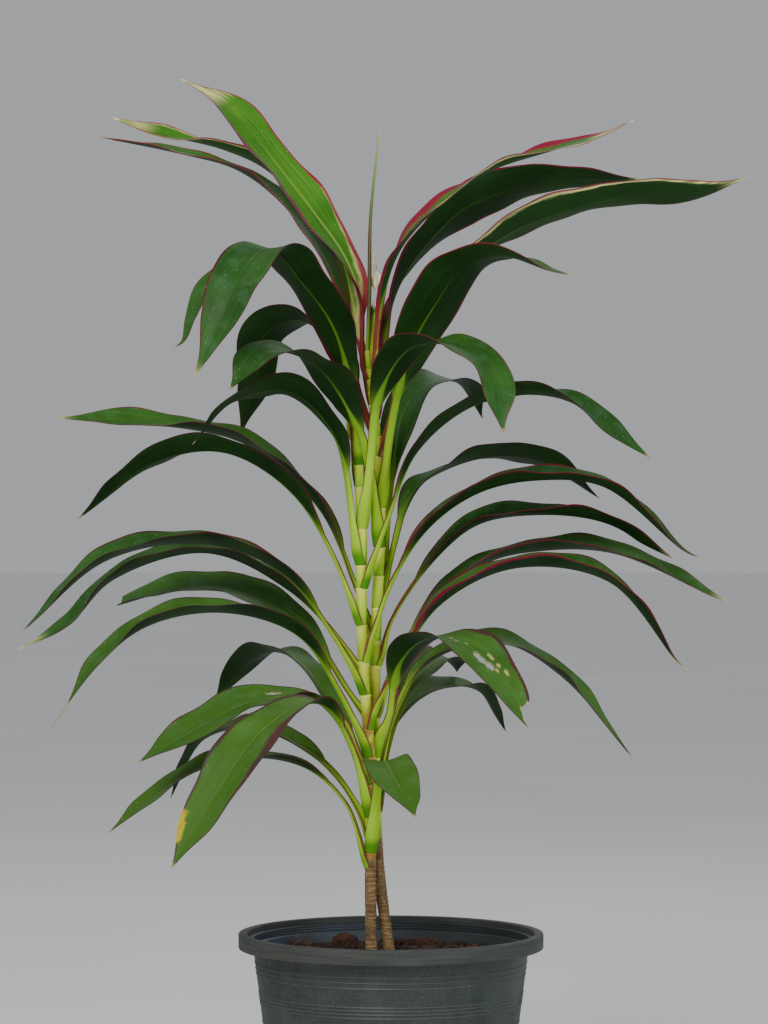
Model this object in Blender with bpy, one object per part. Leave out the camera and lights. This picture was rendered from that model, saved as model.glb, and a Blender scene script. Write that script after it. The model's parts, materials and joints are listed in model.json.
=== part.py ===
"""A ti plant in its nursery pot: two leafy canes, standing in coir, in a tapered plastic pot.

Metres, +Z up. The origin is the middle of the pot's underside, X runs to the right and Y to the back.
Sizes and places below are written in millimetres and turned into metres where a mesh is made.
"""

import math
import random

import bmesh
import bpy
import numpy as np
from mathutils import Vector

MM = 0.001
GAP = 0.3
SEED = 11

# Pot
POT_HEIGHT = 205.0
POT_SIDES = 40
FOOT_RADIUS = 90.0
RIM_RADIUS = 127.0
RIM_DEPTH = 12.5
RIM_LIP = 7.5
WALL = 2.3
WALL_TOP_RADIUS = 114.5
WALL_TOP = 191.0
STEP_RISE = 7.0
STEP_OUT = 3.3
STEP_DRAFT = 0.3
INNER_STEP = 2.2
RIM_SKIN = 2.4
CHAMFER = 1.2
FLOOR_TOP = 7.0
FOOT_RECESS = 4.0
FOOT_RING = 12.0
FOOT_SLOPE = 2.0
BOSS_RADIUS = 15.0
DRAIN_SIDES = 8
DRAIN_HOLES = 8
DRAIN_RADIUS = 5.0
DRAIN_CIRCLE = 62.0

# Coir
SOIL_LEVEL = 188.0
SOIL_DIP = 3.0
SOIL_RINGS = (1.0, 0.82, 0.6, 0.36, 0.14)
CHIPS = 24
CHIP_SIZE = (8.0, 16.0)
CHIP_HEIGHT = (3.5, 6.0)
CHIP_ROUGHNESS = (0.8, 1.15)
CANE_CLEARANCE = 17.0

# A large chip of husk behind the canes: its place across the pot, and half its length, width and height
LARGE_CHIPS = (((-39.0, 68.0), (14.0, 10.0, 12.0)), ((30.0, 78.0), (17.0, 9.0, 8.5)))

# Canes
CANE_SIDES = 8
CANE_RADIUS = 4.7
CANE_TIP_RADIUS = 2.3
CROWN_LENGTH = 75.0
RING_PROUD = 0.6
RING_HEIGHT = 2.4
SCAR_SPACING = 7.0
SCAR_DEPTH = 0.3

CANE_ROUTES = {
    "cane_left": ((-16, -6, 145), (-17, -6, 255), (-17, -6, 335), (-24, -6, 455), (-25, -6, 565), (-31, -6, 645)),
    "cane_right": ((5, 8, 145), (-10, 8, 256), (-13, 8, 330), (-13, 8, 440), (-9, 8, 550), (-13, 8, 625),
                   (-20, 8, 690)),
}

# Leaves
SHEATH_RISE = 12.0
SHEATH_WRAP = 85.0
SHEATH_OPENED = 70.0
SHEATH_LEAN = 2.2
SHEATH_THICK = 1.3
BLADE_THICK = 0.8
THIN_AFTER = 4
PETIOLE_HALF_WIDTH = 4.8
PETIOLE_CURL = 62.0
PETIOLE_START = 30.0
BLADE_CURL = 14.0
BLADE_OUTLINE = (0.85, 0.72)
TAIL_START = 0.84
TAIL_WIDTH = 0.4
OPENING_SHARE = 0.25
TURNING_SHARE = 0.125
FOLD_SHARES = ((0.0, 0.0), (0.15, 1.0), (0.6, 0.9), (1.0, 0.4))
KEEL_ROUND = 2.0
TIP_HALF_WIDTH = 0.7
STATIONS = 15
ACROSS = 5
# How far through its outline a leaf's path ends: one with its tip torn off, and one with a long dry tail
LENGTH_SHARES = {"leaf_left_13": 0.86, "leaf_left_14": 1.08}
WAVE = 1.6
WAVES = 2.6

# A leaf: name, cane, height of its ring, width, petiole length, turns of the blade in degrees at even steps
# from its base to its tip, the angle its halves are folded up by, and the points its midrib passes through
# after it leaves the cane
LEAVES = (
    ("leaf_right_16", "cane_left", 272, 42, 70, (0, 5, 5), 6,
     ((-12, -26, 317), (-7, -64, 351), (2, -122, 343), (19, -160, 315))),
    ("leaf_left_18", "cane_left", 259, 34, 80, (0, 12, 18), 10,
     ((-37, -4, 310), (-71, -10, 343), (-117, -20, 352), (-170, -34, 338), (-232, -46, 292))),
    ("leaf_left_19", "cane_left", 284, 36, 80, (5, 12, 10), 14,
     ((-41, 8, 327), (-70, 36, 353), (-116, 72, 371), (-164, 106, 357), (-191, 124, 307))),
    ("leaf_left_17", "cane_left", 301, 48, 85, (-10, 16, 22), 8,
     ((-32, -24, 357), (-58, -50, 398), (-101, -98, 382), (-142, -140, 327), (-173, -166, 275))),
    ("leaf_left_16", "cane_left", 328, 42, 80, (5, 28, 26), 10,
     ((-39, -14, 381), (-65, -24, 401), (-116, -44, 399), (-164, -62, 375), (-205, -76, 352))),
    ("leaf_left_14", "cane_left", 351, 42, 80, (-5, 6, 26), 24,
     ((-44, -24, 406), (-77, -36, 454), (-136, -46, 473), (-197, -52, 463), (-240, -56, 431),
      (-277, -58, 379))),
    ("leaf_right_12", "cane_left", 374, 42, 80, (0, 6, 8), 24,
     ((7, -17, 428), (41, -14, 479), (103, -10, 509), (182, -6, 497), (238, 0, 431), (247, 0, 424))),
    ("leaf_left_11", "cane_left", 403, 44, 80, (-4, 8, 16), 22,
     ((-48, -16, 451), (-90, -22, 505), (-153, -29, 529), (-233, -36, 516), (-303, -42, 457))),
    ("leaf_right_09", "cane_left", 430, 42, 85, (-2, 6, 12), 22,
     ((1, -15, 495), (32, -13, 543), (74, -10, 572), (124, -6, 582), (178, -2, 576), (244, 2, 523),
      (260, 4, 516))),
    ("leaf_left_10", "cane_left", 461, 40, 80, (-6, -20, -32), 18,
     ((-47, -12, 514), (-79, -16, 568), (-121, -19, 599), (-154, -21, 606), (-199, -23, 595),
      (-258, -26, 550))),
    ("leaf_right_07", "cane_left", 491, 40, 80, (0, -20, 70), 12,
     ((-1, -14, 550), (22, -10, 606), (74, -4, 646), (141, 2, 650), (216, 8, 601))),
    ("leaf_left_08", "cane_left", 511, 40, 80, (25, -26, -15), 8,
     ((-34, -13, 553), (-47, -24, 619), (-83, -44, 654), (-129, -66, 645), (-161, -80, 610))),
    ("leaf_right_05", "cane_left", 541, 46, 105, (-30, 5, 18), 8,
     ((-16, -28, 598), (-9, -50, 651), (17, -86, 689), (53, -112, 687), (79, -132, 667), (89, -150, 618))),
    ("leaf_left_06", "cane_left", 576, 42, 70, (5, -30, -10), 10,
     ((-33, 10, 632), (-44, 30, 688), (-77, 58, 718), (-110, 84, 704), (-117, 104, 667), (-130, 118, 622))),
    ("leaf_left_04", "cane_left", 594, 50, 60, (-45, 5, 38), 8,
     ((-34, -26, 660), (-48, -44, 708), (-74, -68, 744), (-99, -104, 767), (-122, -136, 741),
      (-133, -148, 713), (-148, -155, 677), (-156, -158, 662))),
    ("leaf_left_05", "cane_left", 611, 34, 60, (5, 8, 8), 14,
     ((-38, -8, 673), (-59, -18, 730), (-104, -36, 761), (-146, -56, 741), (-162, -66, 713), (-169, -70, 694),
      (-178, -72, 688))),
    ("leaf_left_15", "cane_right", 289, 38, 80, (5, -10, -15), 14,
     ((-33, 28, 359), (-69, 64, 419), (-97, 96, 435), (-124, 128, 425), (-156, 160, 386))),
    ("leaf_right_15", "cane_right", 304, 36, 80, (5, 12, 10), 14,
     ((-2, 34, 363), (15, 66, 392), (49, 106, 405), (79, 134, 398), (101, 154, 363))),
    ("leaf_right_17", "cane_right", 320, 34, 80, (5, 12, 10), 14,
     ((3, 23, 374), (19, 44, 411), (42, 84, 429), (54, 118, 426), (58, 140, 416))),
    ("leaf_right_14", "cane_right", 335, 40, 80, (5, 20, 22), 12,
     ((1, 15, 378), (29, 28, 427), (92, 46, 445), (146, 62, 415), (206, 76, 346))),
    ("leaf_right_13", "cane_right", 350, 46, 70, (-25, 10, 20), 6,
     ((0, -14, 386), (7, -42, 430), (29, -78, 453), (58, -110, 450), (82, -136, 429), (112, -164, 381))),
    ("leaf_left_13", "cane_right", 366, 42, 80, (15, 26, 18), 12,
     ((-39, 24, 407), (-77, 48, 460), (-129, 76, 487), (-177, 98, 491), (-233, 112, 476))),
    ("leaf_right_11", "cane_right", 383, 40, 80, (-2, 6, 38), 22,
     ((3, 14, 424), (35, 26, 476), (79, 36, 512), (130, 44, 523), (190, 52, 520), (286, 60, 479))),
    ("leaf_left_12", "cane_right", 398, 42, 80, (-4, 8, 30), 20,
     ((-38, 20, 439), (-85, 30, 489), (-155, 38, 521), (-235, 46, 498), (-273, 50, 460), (-315, 53, 439))),
    ("leaf_right_10", "cane_right", 426, 40, 80, (8, 12, -30), 22,
     ((1, 9, 463), (39, 16, 518), (73, 22, 545), (121, 28, 553), (178, 34, 547), (238, 40, 516))),
    ("leaf_left_09", "cane_right", 448, 42, 80, (-8, 4, 42), 18,
     ((-33, 16, 498), (-60, 24, 558), (-119, 34, 611), (-197, 42, 629), (-281, 48, 635))),
    ("leaf_right_08", "cane_right", 474, 38, 80, (10, -25, -20), 12,
     ((3, 18, 523), (19, 34, 572), (48, 54, 592), (91, 76, 603), (135, 94, 597), (180, 108, 567))),
    ("leaf_right_06", "cane_right", 502, 40, 80, (5, 10, 10), 12,
     ((1, 24, 582), (12, 46, 643), (38, 80, 667), (67, 118, 662), (80, 142, 637))),
    ("leaf_left_07", "cane_right", 525, 44, 108, (-30, 10, 30), 8,
     ((-16, -9, 577), (-28, -42, 624), (-61, -86, 674), (-103, -128, 682), (-128, -150, 652))),
    ("leaf_right_04", "cane_right", 559, 48, 95, (-45, -25, 10), 8,
     ((1, -14, 627), (17, -42, 690), (37, -64, 726), (58, -84, 753), (89, -104, 761), (127, -120, 748),
      (145, -126, 744))),
    ("leaf_right_03", "cane_right", 601, 42, 90, (-15, -30, -40), 10,
     ((8, 6, 661), (41, 10, 739), (100, 16, 789), (192, 22, 819), (260, 25, 824), (300, 26, 836))),
    ("leaf_left_03", "cane_right", 619, 40, 60, (-10, 5, 5), 8,
     ((-33, 11, 680), (-44, 19, 736), (-61, 28, 778), (-98, 42, 822), (-132, 52, 846), (-179, 64, 860),
      (-251, 78, 876))),
    ("leaf_right_02", "cane_right", 632, 44, 60, (-30, -60, -20), 8,
     ((-7, 17, 672), (2, 29, 733), (16, 36, 762), (36, 46, 788), (63, 56, 813), (101, 66, 829),
      (144, 76, 838), (215, 88, 840))),
    ("leaf_left_02", "cane_right", 644, 38, 60, (5, 0, -5, -5, 70), 14,
     ((-28, 30, 704), (-45, 56, 777), (-104, 90, 847), (-143, 102, 867), (-191, 112, 880), (-240, 118, 896))),
    ("leaf_right_01", "cane_right", 655, 38, 60, (18, 12, 2, 12, 22), 6,
     ((-9, 1, 715), (8, 4, 775), (73, 9, 835), (133, 12, 857), (175, 14, 870), (203, 15, 883))),
    ("leaf_left_01", "cane_right", 665, 44, 55, (25, 32, 30), 6,
     ((-26, 9, 732), (-38, 12, 767), (-64, 17, 805), (-96, 25, 847), (-134, 35, 894), (-177, 44, 921))),
    ("leaf_young", "cane_right", 675, 8, 40, (0, 0, 0), 0,
     ((-14, 13, 707), (-11, 13, 740), (-15, 13, 775))),
)

# A rolled new leaf: its outline as (share of its length, share of its radius)
SPEAR_SIDES = 6
SPEAR_OUTLINE = ((0.0, 0.75), (0.12, 1.0), (0.3, 0.95), (0.5, 0.8), (0.7, 0.6), (0.86, 0.4), (1.0, 0.16))

# Its cane, its radius, and the points it passes through above the cane's top
SPEARS = {
    "spear_right": ("cane_right", 1.9, ((-18, 9, 735), (-17, 10, 800), (-9, 11, 877))),
    "spear_left": ("cane_left", 1.8, ((-33, -4, 668), (-34, -3, 690))),
}

SMOOTH_UNDER = 38.0


def material(name, colour, roughness):
    made = bpy.data.materials.new(name)
    made.use_nodes = True
    shader = made.node_tree.nodes["Principled BSDF"]
    shader.inputs["Base Color"].default_value = (*colour, 1.0)
    shader.inputs["Roughness"].default_value = roughness
    return made


def mesh_object(name, points, faces, look, parent=None):
    """A mesh object from points in millimetres, smooth shaded, with its faces pointing out."""
    mesh = bpy.data.meshes.new(name)
    mesh.from_pydata([Vector(p) * MM for p in points], [], faces)
    shape = bmesh.new()
    shape.from_mesh(mesh)
    bmesh.ops.recalc_face_normals(shape, faces=shape.faces)
    shape.to_mesh(mesh)
    shape.free()
    mesh.materials.append(look)
    mesh.shade_smooth()
    mesh.set_sharp_from_angle(angle=math.radians(SMOOTH_UNDER))
    made = bpy.data.objects.new(name, mesh)
    made.parent = parent
    bpy.context.scene.collection.objects.link(made)
    return made


def smooth_path(points, per_span=12):
    """A centripetal Catmull-Rom curve through the points, read at per_span places between each two."""
    points = [np.array(p, float) for p in points]
    points = [2 * points[0] - points[1], *points, 2 * points[-1] - points[-2]]
    path = []
    for before, start, end, after in zip(points, points[1:], points[2:], points[3:]):
        gaps = [np.linalg.norm(b - a) ** 0.5 for a, b in ((before, start), (start, end), (end, after))]
        leave = ((start - before) / gaps[0] - (end - before) / (gaps[0] + gaps[1])) * gaps[1] + (end - start)
        arrive = ((after - end) / gaps[2] - (after - start) / (gaps[1] + gaps[2])) * gaps[1] + (end - start)
        for step in range(per_span):
            t = step / per_span
            path.append(
                (2 * t**3 - 3 * t**2 + 1) * start
                + (t**3 - 2 * t**2 + t) * leave
                + (3 * t**2 - 2 * t**3) * end
                + (t**3 - t**2) * arrive
            )
    path.append(points[-2])
    return np.array(path)


def lengths_along(path):
    return np.concatenate([[0.0], np.cumsum(np.linalg.norm(np.diff(path, axis=0), axis=1))])


def read_path(path, places):
    """Points and directions of a path at the given lengths along it."""
    along = lengths_along(path)
    points = np.column_stack([np.interp(places, along, path[:, i]) for i in range(3)])
    slopes = np.gradient(path, along, axis=0)
    ways = np.column_stack([np.interp(places, along, slopes[:, i]) for i in range(3)])
    return points, ways / np.linalg.norm(ways, axis=1)[:, None]


def tube_rings(points, ways, radii, sides):
    """Rings of points round a path, each square to it, with no twist from one to the next."""
    across = np.array((1.0, 0.0, 0.0))
    rings = []
    for point, way, radius in zip(points, ways, radii):
        across = across - way * np.dot(across, way)
        across /= np.linalg.norm(across)
        other = np.cross(way, across)
        for side in range(sides):
            angle = 2 * math.pi * side / sides
            rings.append(point + radius * (math.cos(angle) * across + math.sin(angle) * other))
    return rings


def tube_faces(count, sides):
    faces = [tuple(reversed(range(sides))), tuple(range((count - 1) * sides, count * sides))]
    for ring in range(count - 1):
        for side in range(sides):
            a = ring * sides + side
            b = ring * sides + (side + 1) % sides
            faces.append((a, b, b + sides, a + sides))
    return faces


def tube(name, points, ways, radii, sides, look, parent=None):
    rings = tube_rings(points, ways, radii, sides)
    return mesh_object(name, rings, tube_faces(len(points), sides), look, parent)


def cane_radius(route_top, height):
    """The cane keeps its width up to the crown, and tapers through it."""
    share = min(max((route_top - height) / CROWN_LENGTH, 0.0), 1.0)
    return CANE_TIP_RADIUS + (CANE_RADIUS - CANE_TIP_RADIUS) * share


def cane_axis(cane, height):
    """The middle of a cane and its direction, at a height."""
    path = smooth_path(CANE_ROUTES[cane])
    along = lengths_along(path)
    place = np.interp(height, path[:, 2], along)
    points, ways = read_path(path, [place])
    return points[0], ways[0]


def build_cane(name, look, parent):
    """A cane with a proud ring under each leaf, where its sheath is rooted."""
    route = CANE_ROUTES[name]
    top = route[-1][2]
    nodes = sorted(leaf[2] for leaf in LEAVES if leaf[1] == name)
    stations = {float(route[0][2]): 0.0, float(top): 0.0}
    for ring in nodes:
        stations[ring - RING_HEIGHT] = 0.0
        stations[ring - RING_HEIGHT / 3] = RING_PROUD
        stations[ring + 0.0] = 0.0
    bare = nodes[0] - RING_HEIGHT - SCAR_SPACING
    while bare > SOIL_LEVEL:
        stations[bare] = 0.0
        stations[bare - SCAR_SPACING / 3] = -SCAR_DEPTH
        bare -= SCAR_SPACING
    heights = sorted(stations)
    path = smooth_path(route)
    along = lengths_along(path)
    places = np.interp(heights, path[:, 2], along)
    points, ways = read_path(path, places)
    radii = [cane_radius(top, z) + stations[z] * cane_radius(top, z) / CANE_RADIUS for z in heights]
    return tube(name, points, ways, radii, CANE_SIDES, look, parent)


def cane_hole(name):
    """A cutter that clears the buried end of a cane."""
    path = smooth_path(CANE_ROUTES[name])
    buried = path[path[:, 2] < SOIL_LEVEL + 30]
    buried[0, 2] -= GAP
    points, ways = read_path(buried, lengths_along(buried))
    grown = (CANE_RADIUS + GAP) / math.cos(math.pi / CANE_SIDES)
    cutter = tube(name + "_hole", points, ways, [grown] * len(points), CANE_SIDES, bpy.data.materials["soil"])
    cutter.hide_render = True
    cutter.display_type = "WIRE"
    return cutter


def blade_share(t):
    """How much of its full width the blade has, from its base at 0 to its tip at 1."""
    start, end = BLADE_OUTLINE
    peak = start / (start + end)
    tail = blend(1.0, TAIL_WIDTH, (t - TAIL_START) / (1 - TAIL_START))
    return tail * t**start * (1 - t) ** end / (peak**start * (1 - peak) ** end)


def blend(a, b, t):
    t = min(max(t, 0.0), 1.0)
    return a + (b - a) * t * t * (3 - 2 * t)


def leaf_width(place, rise, hug, t, width):
    """Half a leaf's width, and half the angle in degrees it is curled through, at a place along it."""
    leaving = (place - rise) / PETIOLE_START
    if place <= rise:
        curl = blend(SHEATH_WRAP, SHEATH_OPENED, place / rise)
    else:
        curl = blend(SHEATH_OPENED, PETIOLE_CURL, leaving)
    bend = blend(hug, PETIOLE_HALF_WIDTH / math.radians(PETIOLE_CURL), leaving)
    if t == 0:
        return bend * math.radians(curl), curl
    half = PETIOLE_HALF_WIDTH * (1 - t) + (width - PETIOLE_HALF_WIDTH) / 2 * blade_share(t)
    return max(half, TIP_HALF_WIDTH), blend(curl, BLADE_CURL, t / OPENING_SHARE)


def across_leaf(share, bend, curl, folded):
    """How far across and how far up from its midrib a leaf's point lies, its halves folded up at the keel."""
    across = bend * math.sin(share * curl)
    lift = bend * (1 - math.cos(share * curl))
    raised = (math.hypot(across, KEEL_ROUND) - KEEL_ROUND) * math.sin(folded)
    inward = math.copysign(lift, share) * math.sin(folded)
    return across * math.cos(folded) - inward, lift * math.cos(folded) + raised


def leaf_sections(leaf):
    """The leaf as rows of points across its middle surface, from the sheath to the tip."""
    name, cane, node, width, petiole, turns, fold, through = leaf
    foot, _ = cane_axis(cane, node + GAP)
    shoulder, _ = cane_axis(cane, node + SHEATH_RISE)
    beside, _ = cane_axis(cane, through[0][2])
    out = np.array((through[0][0] - beside[0], through[0][1] - beside[1], 0.0))
    out /= np.linalg.norm(out)
    radius = cane_radius(CANE_ROUTES[cane][-1][2], node)
    hug = (radius + GAP + SHEATH_THICK / 2) / math.cos(math.radians(SHEATH_WRAP) / (ACROSS - 1))
    foot = foot + hug * out
    shoulder = shoulder + (hug + SHEATH_LEAN) * out
    path = smooth_path([foot, shoulder, *through])
    total = lengths_along(path)[-1]
    rise = np.linalg.norm(shoulder - foot)
    places = [0.0, rise, *np.linspace(rise, total, STATIONS - 1)[1:]]
    side = np.array((out[1], -out[0], 0.0))
    toward_viewer = 1 if through[-1][0] > beside[0] else -1
    phase = random.Random(SEED + node).uniform(0, 2 * math.pi)
    rows = []
    for place, point, way in zip(places, *read_path(path, places)):
        side = np.array((side[0], side[1], 0.0))
        side = side - way * np.dot(side, way)
        side /= np.linalg.norm(side)
        inward = np.cross(side, way)
        t = min(LENGTH_SHARES.get(name, 1.0) * max(place - petiole, 0.0) / (total - petiole), 1.0)
        turn = np.interp(t, np.linspace(0, 1, len(turns)), turns) * min(t / TURNING_SHARE, 1.0)
        turn = math.radians(turn) * toward_viewer
        face = inward * math.cos(turn) + side * math.sin(turn)
        edge = side * math.cos(turn) - inward * math.sin(turn)
        half, curl = leaf_width(place, rise, hug, t, width)
        curl = math.radians(curl)
        bend = half / curl
        folded = math.radians(fold * np.interp(t, *zip(*FOLD_SHARES)))
        row = []
        for j in range(ACROSS):
            share = 2 * j / (ACROSS - 1) - 1
            wave = WAVE * share**2 * blade_share(t) * math.sin(WAVES * 2 * math.pi * t + phase + share)
            across, lift = across_leaf(share, bend, curl, folded)
            row.append(point + edge * across + face * (lift + wave))
        rows.append(row)
    return rows


def build_leaf(leaf, look, parent):
    """A leaf from its clasping sheath to its tip: one thin sheet, given a wall on both sides."""
    rows = leaf_sections(leaf)
    points = [p for row in rows for p in row]
    faces = []
    for i in range(len(rows) - 1):
        for j in range(ACROSS - 1):
            a = i * ACROSS + j
            b = a + ACROSS
            if j < ACROSS // 2:
                faces += [(a, a + 1, b + 1), (a, b + 1, b)]
            else:
                faces += [(a, a + 1, b), (a + 1, b + 1, b)]
    made = mesh_object(leaf[0], points, faces, look, parent)
    thick = made.vertex_groups.new(name="thick")
    for i in range(len(rows)):
        share = blend(1.0, BLADE_THICK / SHEATH_THICK, (i - 1) / THIN_AFTER)
        thick.add(list(range(i * ACROSS, (i + 1) * ACROSS)), share, "REPLACE")
    wall = made.modifiers.new("wall", "SOLIDIFY")
    wall.thickness = SHEATH_THICK * MM
    wall.offset = 0.0
    wall.use_even_offset = True
    wall.vertex_group = thick.name
    wall.thickness_vertex_group = 0.0
    return made


def turned(name, profile, sides, look, parent=None):
    """A closed solid of revolution from an outline that starts and ends on the axis."""
    shape = bmesh.new()
    line = [shape.verts.new((r * MM, 0.0, z * MM)) for r, z in profile]
    edges = [shape.edges.new(pair) for pair in zip(line, line[1:])]
    bmesh.ops.spin(
        shape, geom=line + edges, cent=(0, 0, 0), axis=(0, 0, 1), dvec=(0, 0, 0), angle=2 * math.pi, steps=sides
    )
    bmesh.ops.remove_doubles(shape, verts=shape.verts, dist=1e-5)
    bmesh.ops.recalc_face_normals(shape, faces=shape.faces)
    mesh = bpy.data.meshes.new(name)
    shape.to_mesh(mesh)
    shape.free()
    mesh.materials.append(look)
    mesh.shade_smooth()
    mesh.set_sharp_from_angle(angle=math.radians(SMOOTH_UNDER))
    made = bpy.data.objects.new(name, mesh)
    made.parent = parent
    bpy.context.scene.collection.objects.link(made)
    return made


def apply_boolean(target, other, operation):
    """Cuts or joins, keeps the result as the target's mesh, and drops the other object."""
    tool = target.modifiers.new(operation.lower(), "BOOLEAN")
    tool.object = other
    tool.operation = operation
    tool.solver = "EXACT"
    bpy.context.view_layer.update()
    result = bpy.data.meshes.new_from_object(target.evaluated_get(bpy.context.evaluated_depsgraph_get()))
    target.modifiers.remove(tool)
    target.data = result
    bpy.data.objects.remove(other)


def wall_radius(z):
    """The outer radius of the tapered wall at a height."""
    return FOOT_RADIUS + (WALL_TOP_RADIUS - FOOT_RADIUS) * z / WALL_TOP


def soil_radius(z):
    """The radius of the coir at a height, a small gap inside the wall."""
    low = wall_radius(FLOOR_TOP) - WALL
    high = WALL_TOP_RADIUS - WALL
    share = (z - FLOOR_TOP) / (WALL_TOP + INNER_STEP - FLOOR_TOP)
    return low + (high - low) * share - GAP


def pot_profile():
    """The pot's outline: a boss and a foot ring below, a tapered wall, two stacking steps and a hollow rim."""
    top = POT_HEIGHT
    skirt = top - RIM_DEPTH
    step_1 = WALL_TOP_RADIUS + STEP_OUT
    step_2 = step_1 + STEP_OUT
    ledge = WALL_TOP + STEP_RISE
    lip = RIM_RADIUS - RIM_LIP
    return [
        (0.0, 0.0),
        (BOSS_RADIUS, 0.0),
        (BOSS_RADIUS + FOOT_SLOPE, FOOT_RECESS),
        (FOOT_RADIUS - FOOT_RING - FOOT_SLOPE, FOOT_RECESS),
        (FOOT_RADIUS - FOOT_RING, 0.0),
        (FOOT_RADIUS - CHAMFER, 0.0),
        (wall_radius(CHAMFER), CHAMFER),
        (WALL_TOP_RADIUS, WALL_TOP),
        (step_1, WALL_TOP + CHAMFER),
        (step_1 + STEP_DRAFT, ledge),
        (step_2, ledge + CHAMFER),
        (step_2 + STEP_DRAFT, top - RIM_SKIN),
        (RIM_RADIUS - RIM_SKIN, top - RIM_SKIN),
        (RIM_RADIUS - RIM_SKIN + STEP_DRAFT, skirt),
        (RIM_RADIUS - CHAMFER, skirt),
        (RIM_RADIUS, skirt + CHAMFER),
        (RIM_RADIUS, top - CHAMFER),
        (RIM_RADIUS - CHAMFER, top),
        (lip + CHAMFER, top),
        (lip, top - CHAMFER),
        (lip - STEP_DRAFT, ledge + INNER_STEP),
        (step_1 - WALL, ledge + INNER_STEP - CHAMFER / 2),
        (step_1 - WALL - STEP_DRAFT, WALL_TOP + INNER_STEP + CHAMFER),
        (WALL_TOP_RADIUS - WALL, WALL_TOP + INNER_STEP),
        (wall_radius(FLOOR_TOP) - WALL, FLOOR_TOP),
        (0.0, FLOOR_TOP),
    ]


def build_pot(look, parent):
    pot = turned("pot", pot_profile(), POT_SIDES, look, parent)
    for hole in range(DRAIN_HOLES):
        angle = 2 * math.pi * (hole + 0.5) / DRAIN_HOLES
        middle = Vector((DRAIN_CIRCLE * math.cos(angle), DRAIN_CIRCLE * math.sin(angle), FLOOR_TOP)) * MM
        bpy.ops.mesh.primitive_cylinder_add(
            vertices=DRAIN_SIDES, radius=DRAIN_RADIUS * MM, depth=4 * FLOOR_TOP * MM, location=middle
        )
        apply_boolean(pot, bpy.context.object, "DIFFERENCE")
    return pot


def chip_place(rng):
    """A place for a chip of husk, clear of the canes and of the wall."""
    while True:
        reach = rng.uniform(CHIP_SIZE[0], soil_radius(SOIL_LEVEL) - CHIP_SIZE[1])
        bearing = rng.uniform(0, 2 * math.pi)
        middle = (reach * math.cos(bearing), reach * math.sin(bearing))
        canes = [cane_axis(cane, SOIL_LEVEL)[0][:2] for cane in CANE_ROUTES]
        if all(math.dist(middle, cane) > CANE_CLEARANCE for cane in canes):
            return middle


def chip(rng, middle, size, turn):
    """One chip of husk, half sunk in the coir."""
    bpy.ops.mesh.primitive_ico_sphere_add(subdivisions=1, radius=1.0)
    made = bpy.context.object
    for vertex in made.data.vertices:
        x, y, z = (vertex.co[i] * size[i] * rng.uniform(*CHIP_ROUGHNESS) for i in range(3))
        across = (x * math.cos(turn) - y * math.sin(turn), x * math.sin(turn) + y * math.cos(turn))
        vertex.co = Vector((across[0] + middle[0], across[1] + middle[1], z + SOIL_LEVEL - SOIL_DIP)) * MM
    return made


def build_soil(look, parent):
    """The coir that fills the pot: an uneven top with husk chips in it, and a plain hole round each cane."""
    rng = random.Random(SEED)
    level = SOIL_LEVEL - SOIL_DIP
    floor = FLOOR_TOP + GAP
    profile = [(0.0, floor), (soil_radius(floor), floor)]
    profile += [(soil_radius(level) * share, level) for share in SOIL_RINGS]
    profile.append((0.0, level))
    soil = turned("soil", profile, POT_SIDES, look, parent)
    for vertex in soil.data.vertices:
        reach = math.hypot(vertex.co.x, vertex.co.y) / MM
        if vertex.co.z / MM > level - 1 and reach < soil_radius(level) * 0.9:
            vertex.co.z += rng.uniform(-SOIL_DIP / 2, SOIL_DIP) * MM
    bpy.context.view_layer.update()
    for middle, size in LARGE_CHIPS:
        apply_boolean(soil, chip(rng, middle, size, 0.0), "UNION")
    for _ in range(CHIPS):
        size = (rng.uniform(*CHIP_SIZE) / 2, rng.uniform(*CHIP_SIZE) / 2, rng.uniform(*CHIP_HEIGHT))
        apply_boolean(soil, chip(rng, chip_place(rng), size, rng.uniform(0, math.pi)), "UNION")
    for cane in CANE_ROUTES:
        apply_boolean(soil, cane_hole(cane), "DIFFERENCE")
    soil.data.materials.clear()
    soil.data.materials.append(look)
    return soil


def build_spear(name, cane, points, radius, look, parent):
    """A new leaf, still rolled up, standing out of the top of a cane."""
    top, _ = cane_axis(cane, CANE_ROUTES[cane][-1][2])
    path = smooth_path([top + np.array((0, 0, GAP)), *points])
    total = lengths_along(path)[-1]
    spots, ways = read_path(path, [total * share for share, _ in SPEAR_OUTLINE])
    return tube(name, spots, ways, [radius * span for _, span in SPEAR_OUTLINE], SPEAR_SIDES, look, parent)


def main():
    for old in list(bpy.data.objects):
        bpy.data.objects.remove(old)
    leaf_look = material("leaf", (0.08, 0.2, 0.05), 0.42)
    cane_look = material("cane", (0.42, 0.45, 0.12), 0.55)
    pot_look = material("pot", (0.06, 0.075, 0.085), 0.55)
    soil_look = material("soil", (0.07, 0.035, 0.022), 0.95)
    plant = bpy.data.objects.new("plant", None)
    bpy.context.scene.collection.objects.link(plant)
    build_pot(pot_look, plant)
    build_soil(soil_look, plant)
    for cane in CANE_ROUTES:
        build_cane(cane, cane_look, plant)
    for leaf in LEAVES:
        build_leaf(leaf, leaf_look, plant)
    for name, (cane, radius, points) in SPEARS.items():
        build_spear(name, cane, points, radius, leaf_look, plant)


main()
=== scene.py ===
"""A ti plant in its nursery pot: its leaves, canes, coir and pot, finished for the studio.

Metres, +Z up. The origin is the middle of the pot's underside, X runs to the right and Y to the back.
Sizes and places are written in millimetres and turned into metres where a mesh is made.
"""

import json
import math
import random

import bpy
import numpy as np
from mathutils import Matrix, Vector, noise

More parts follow.
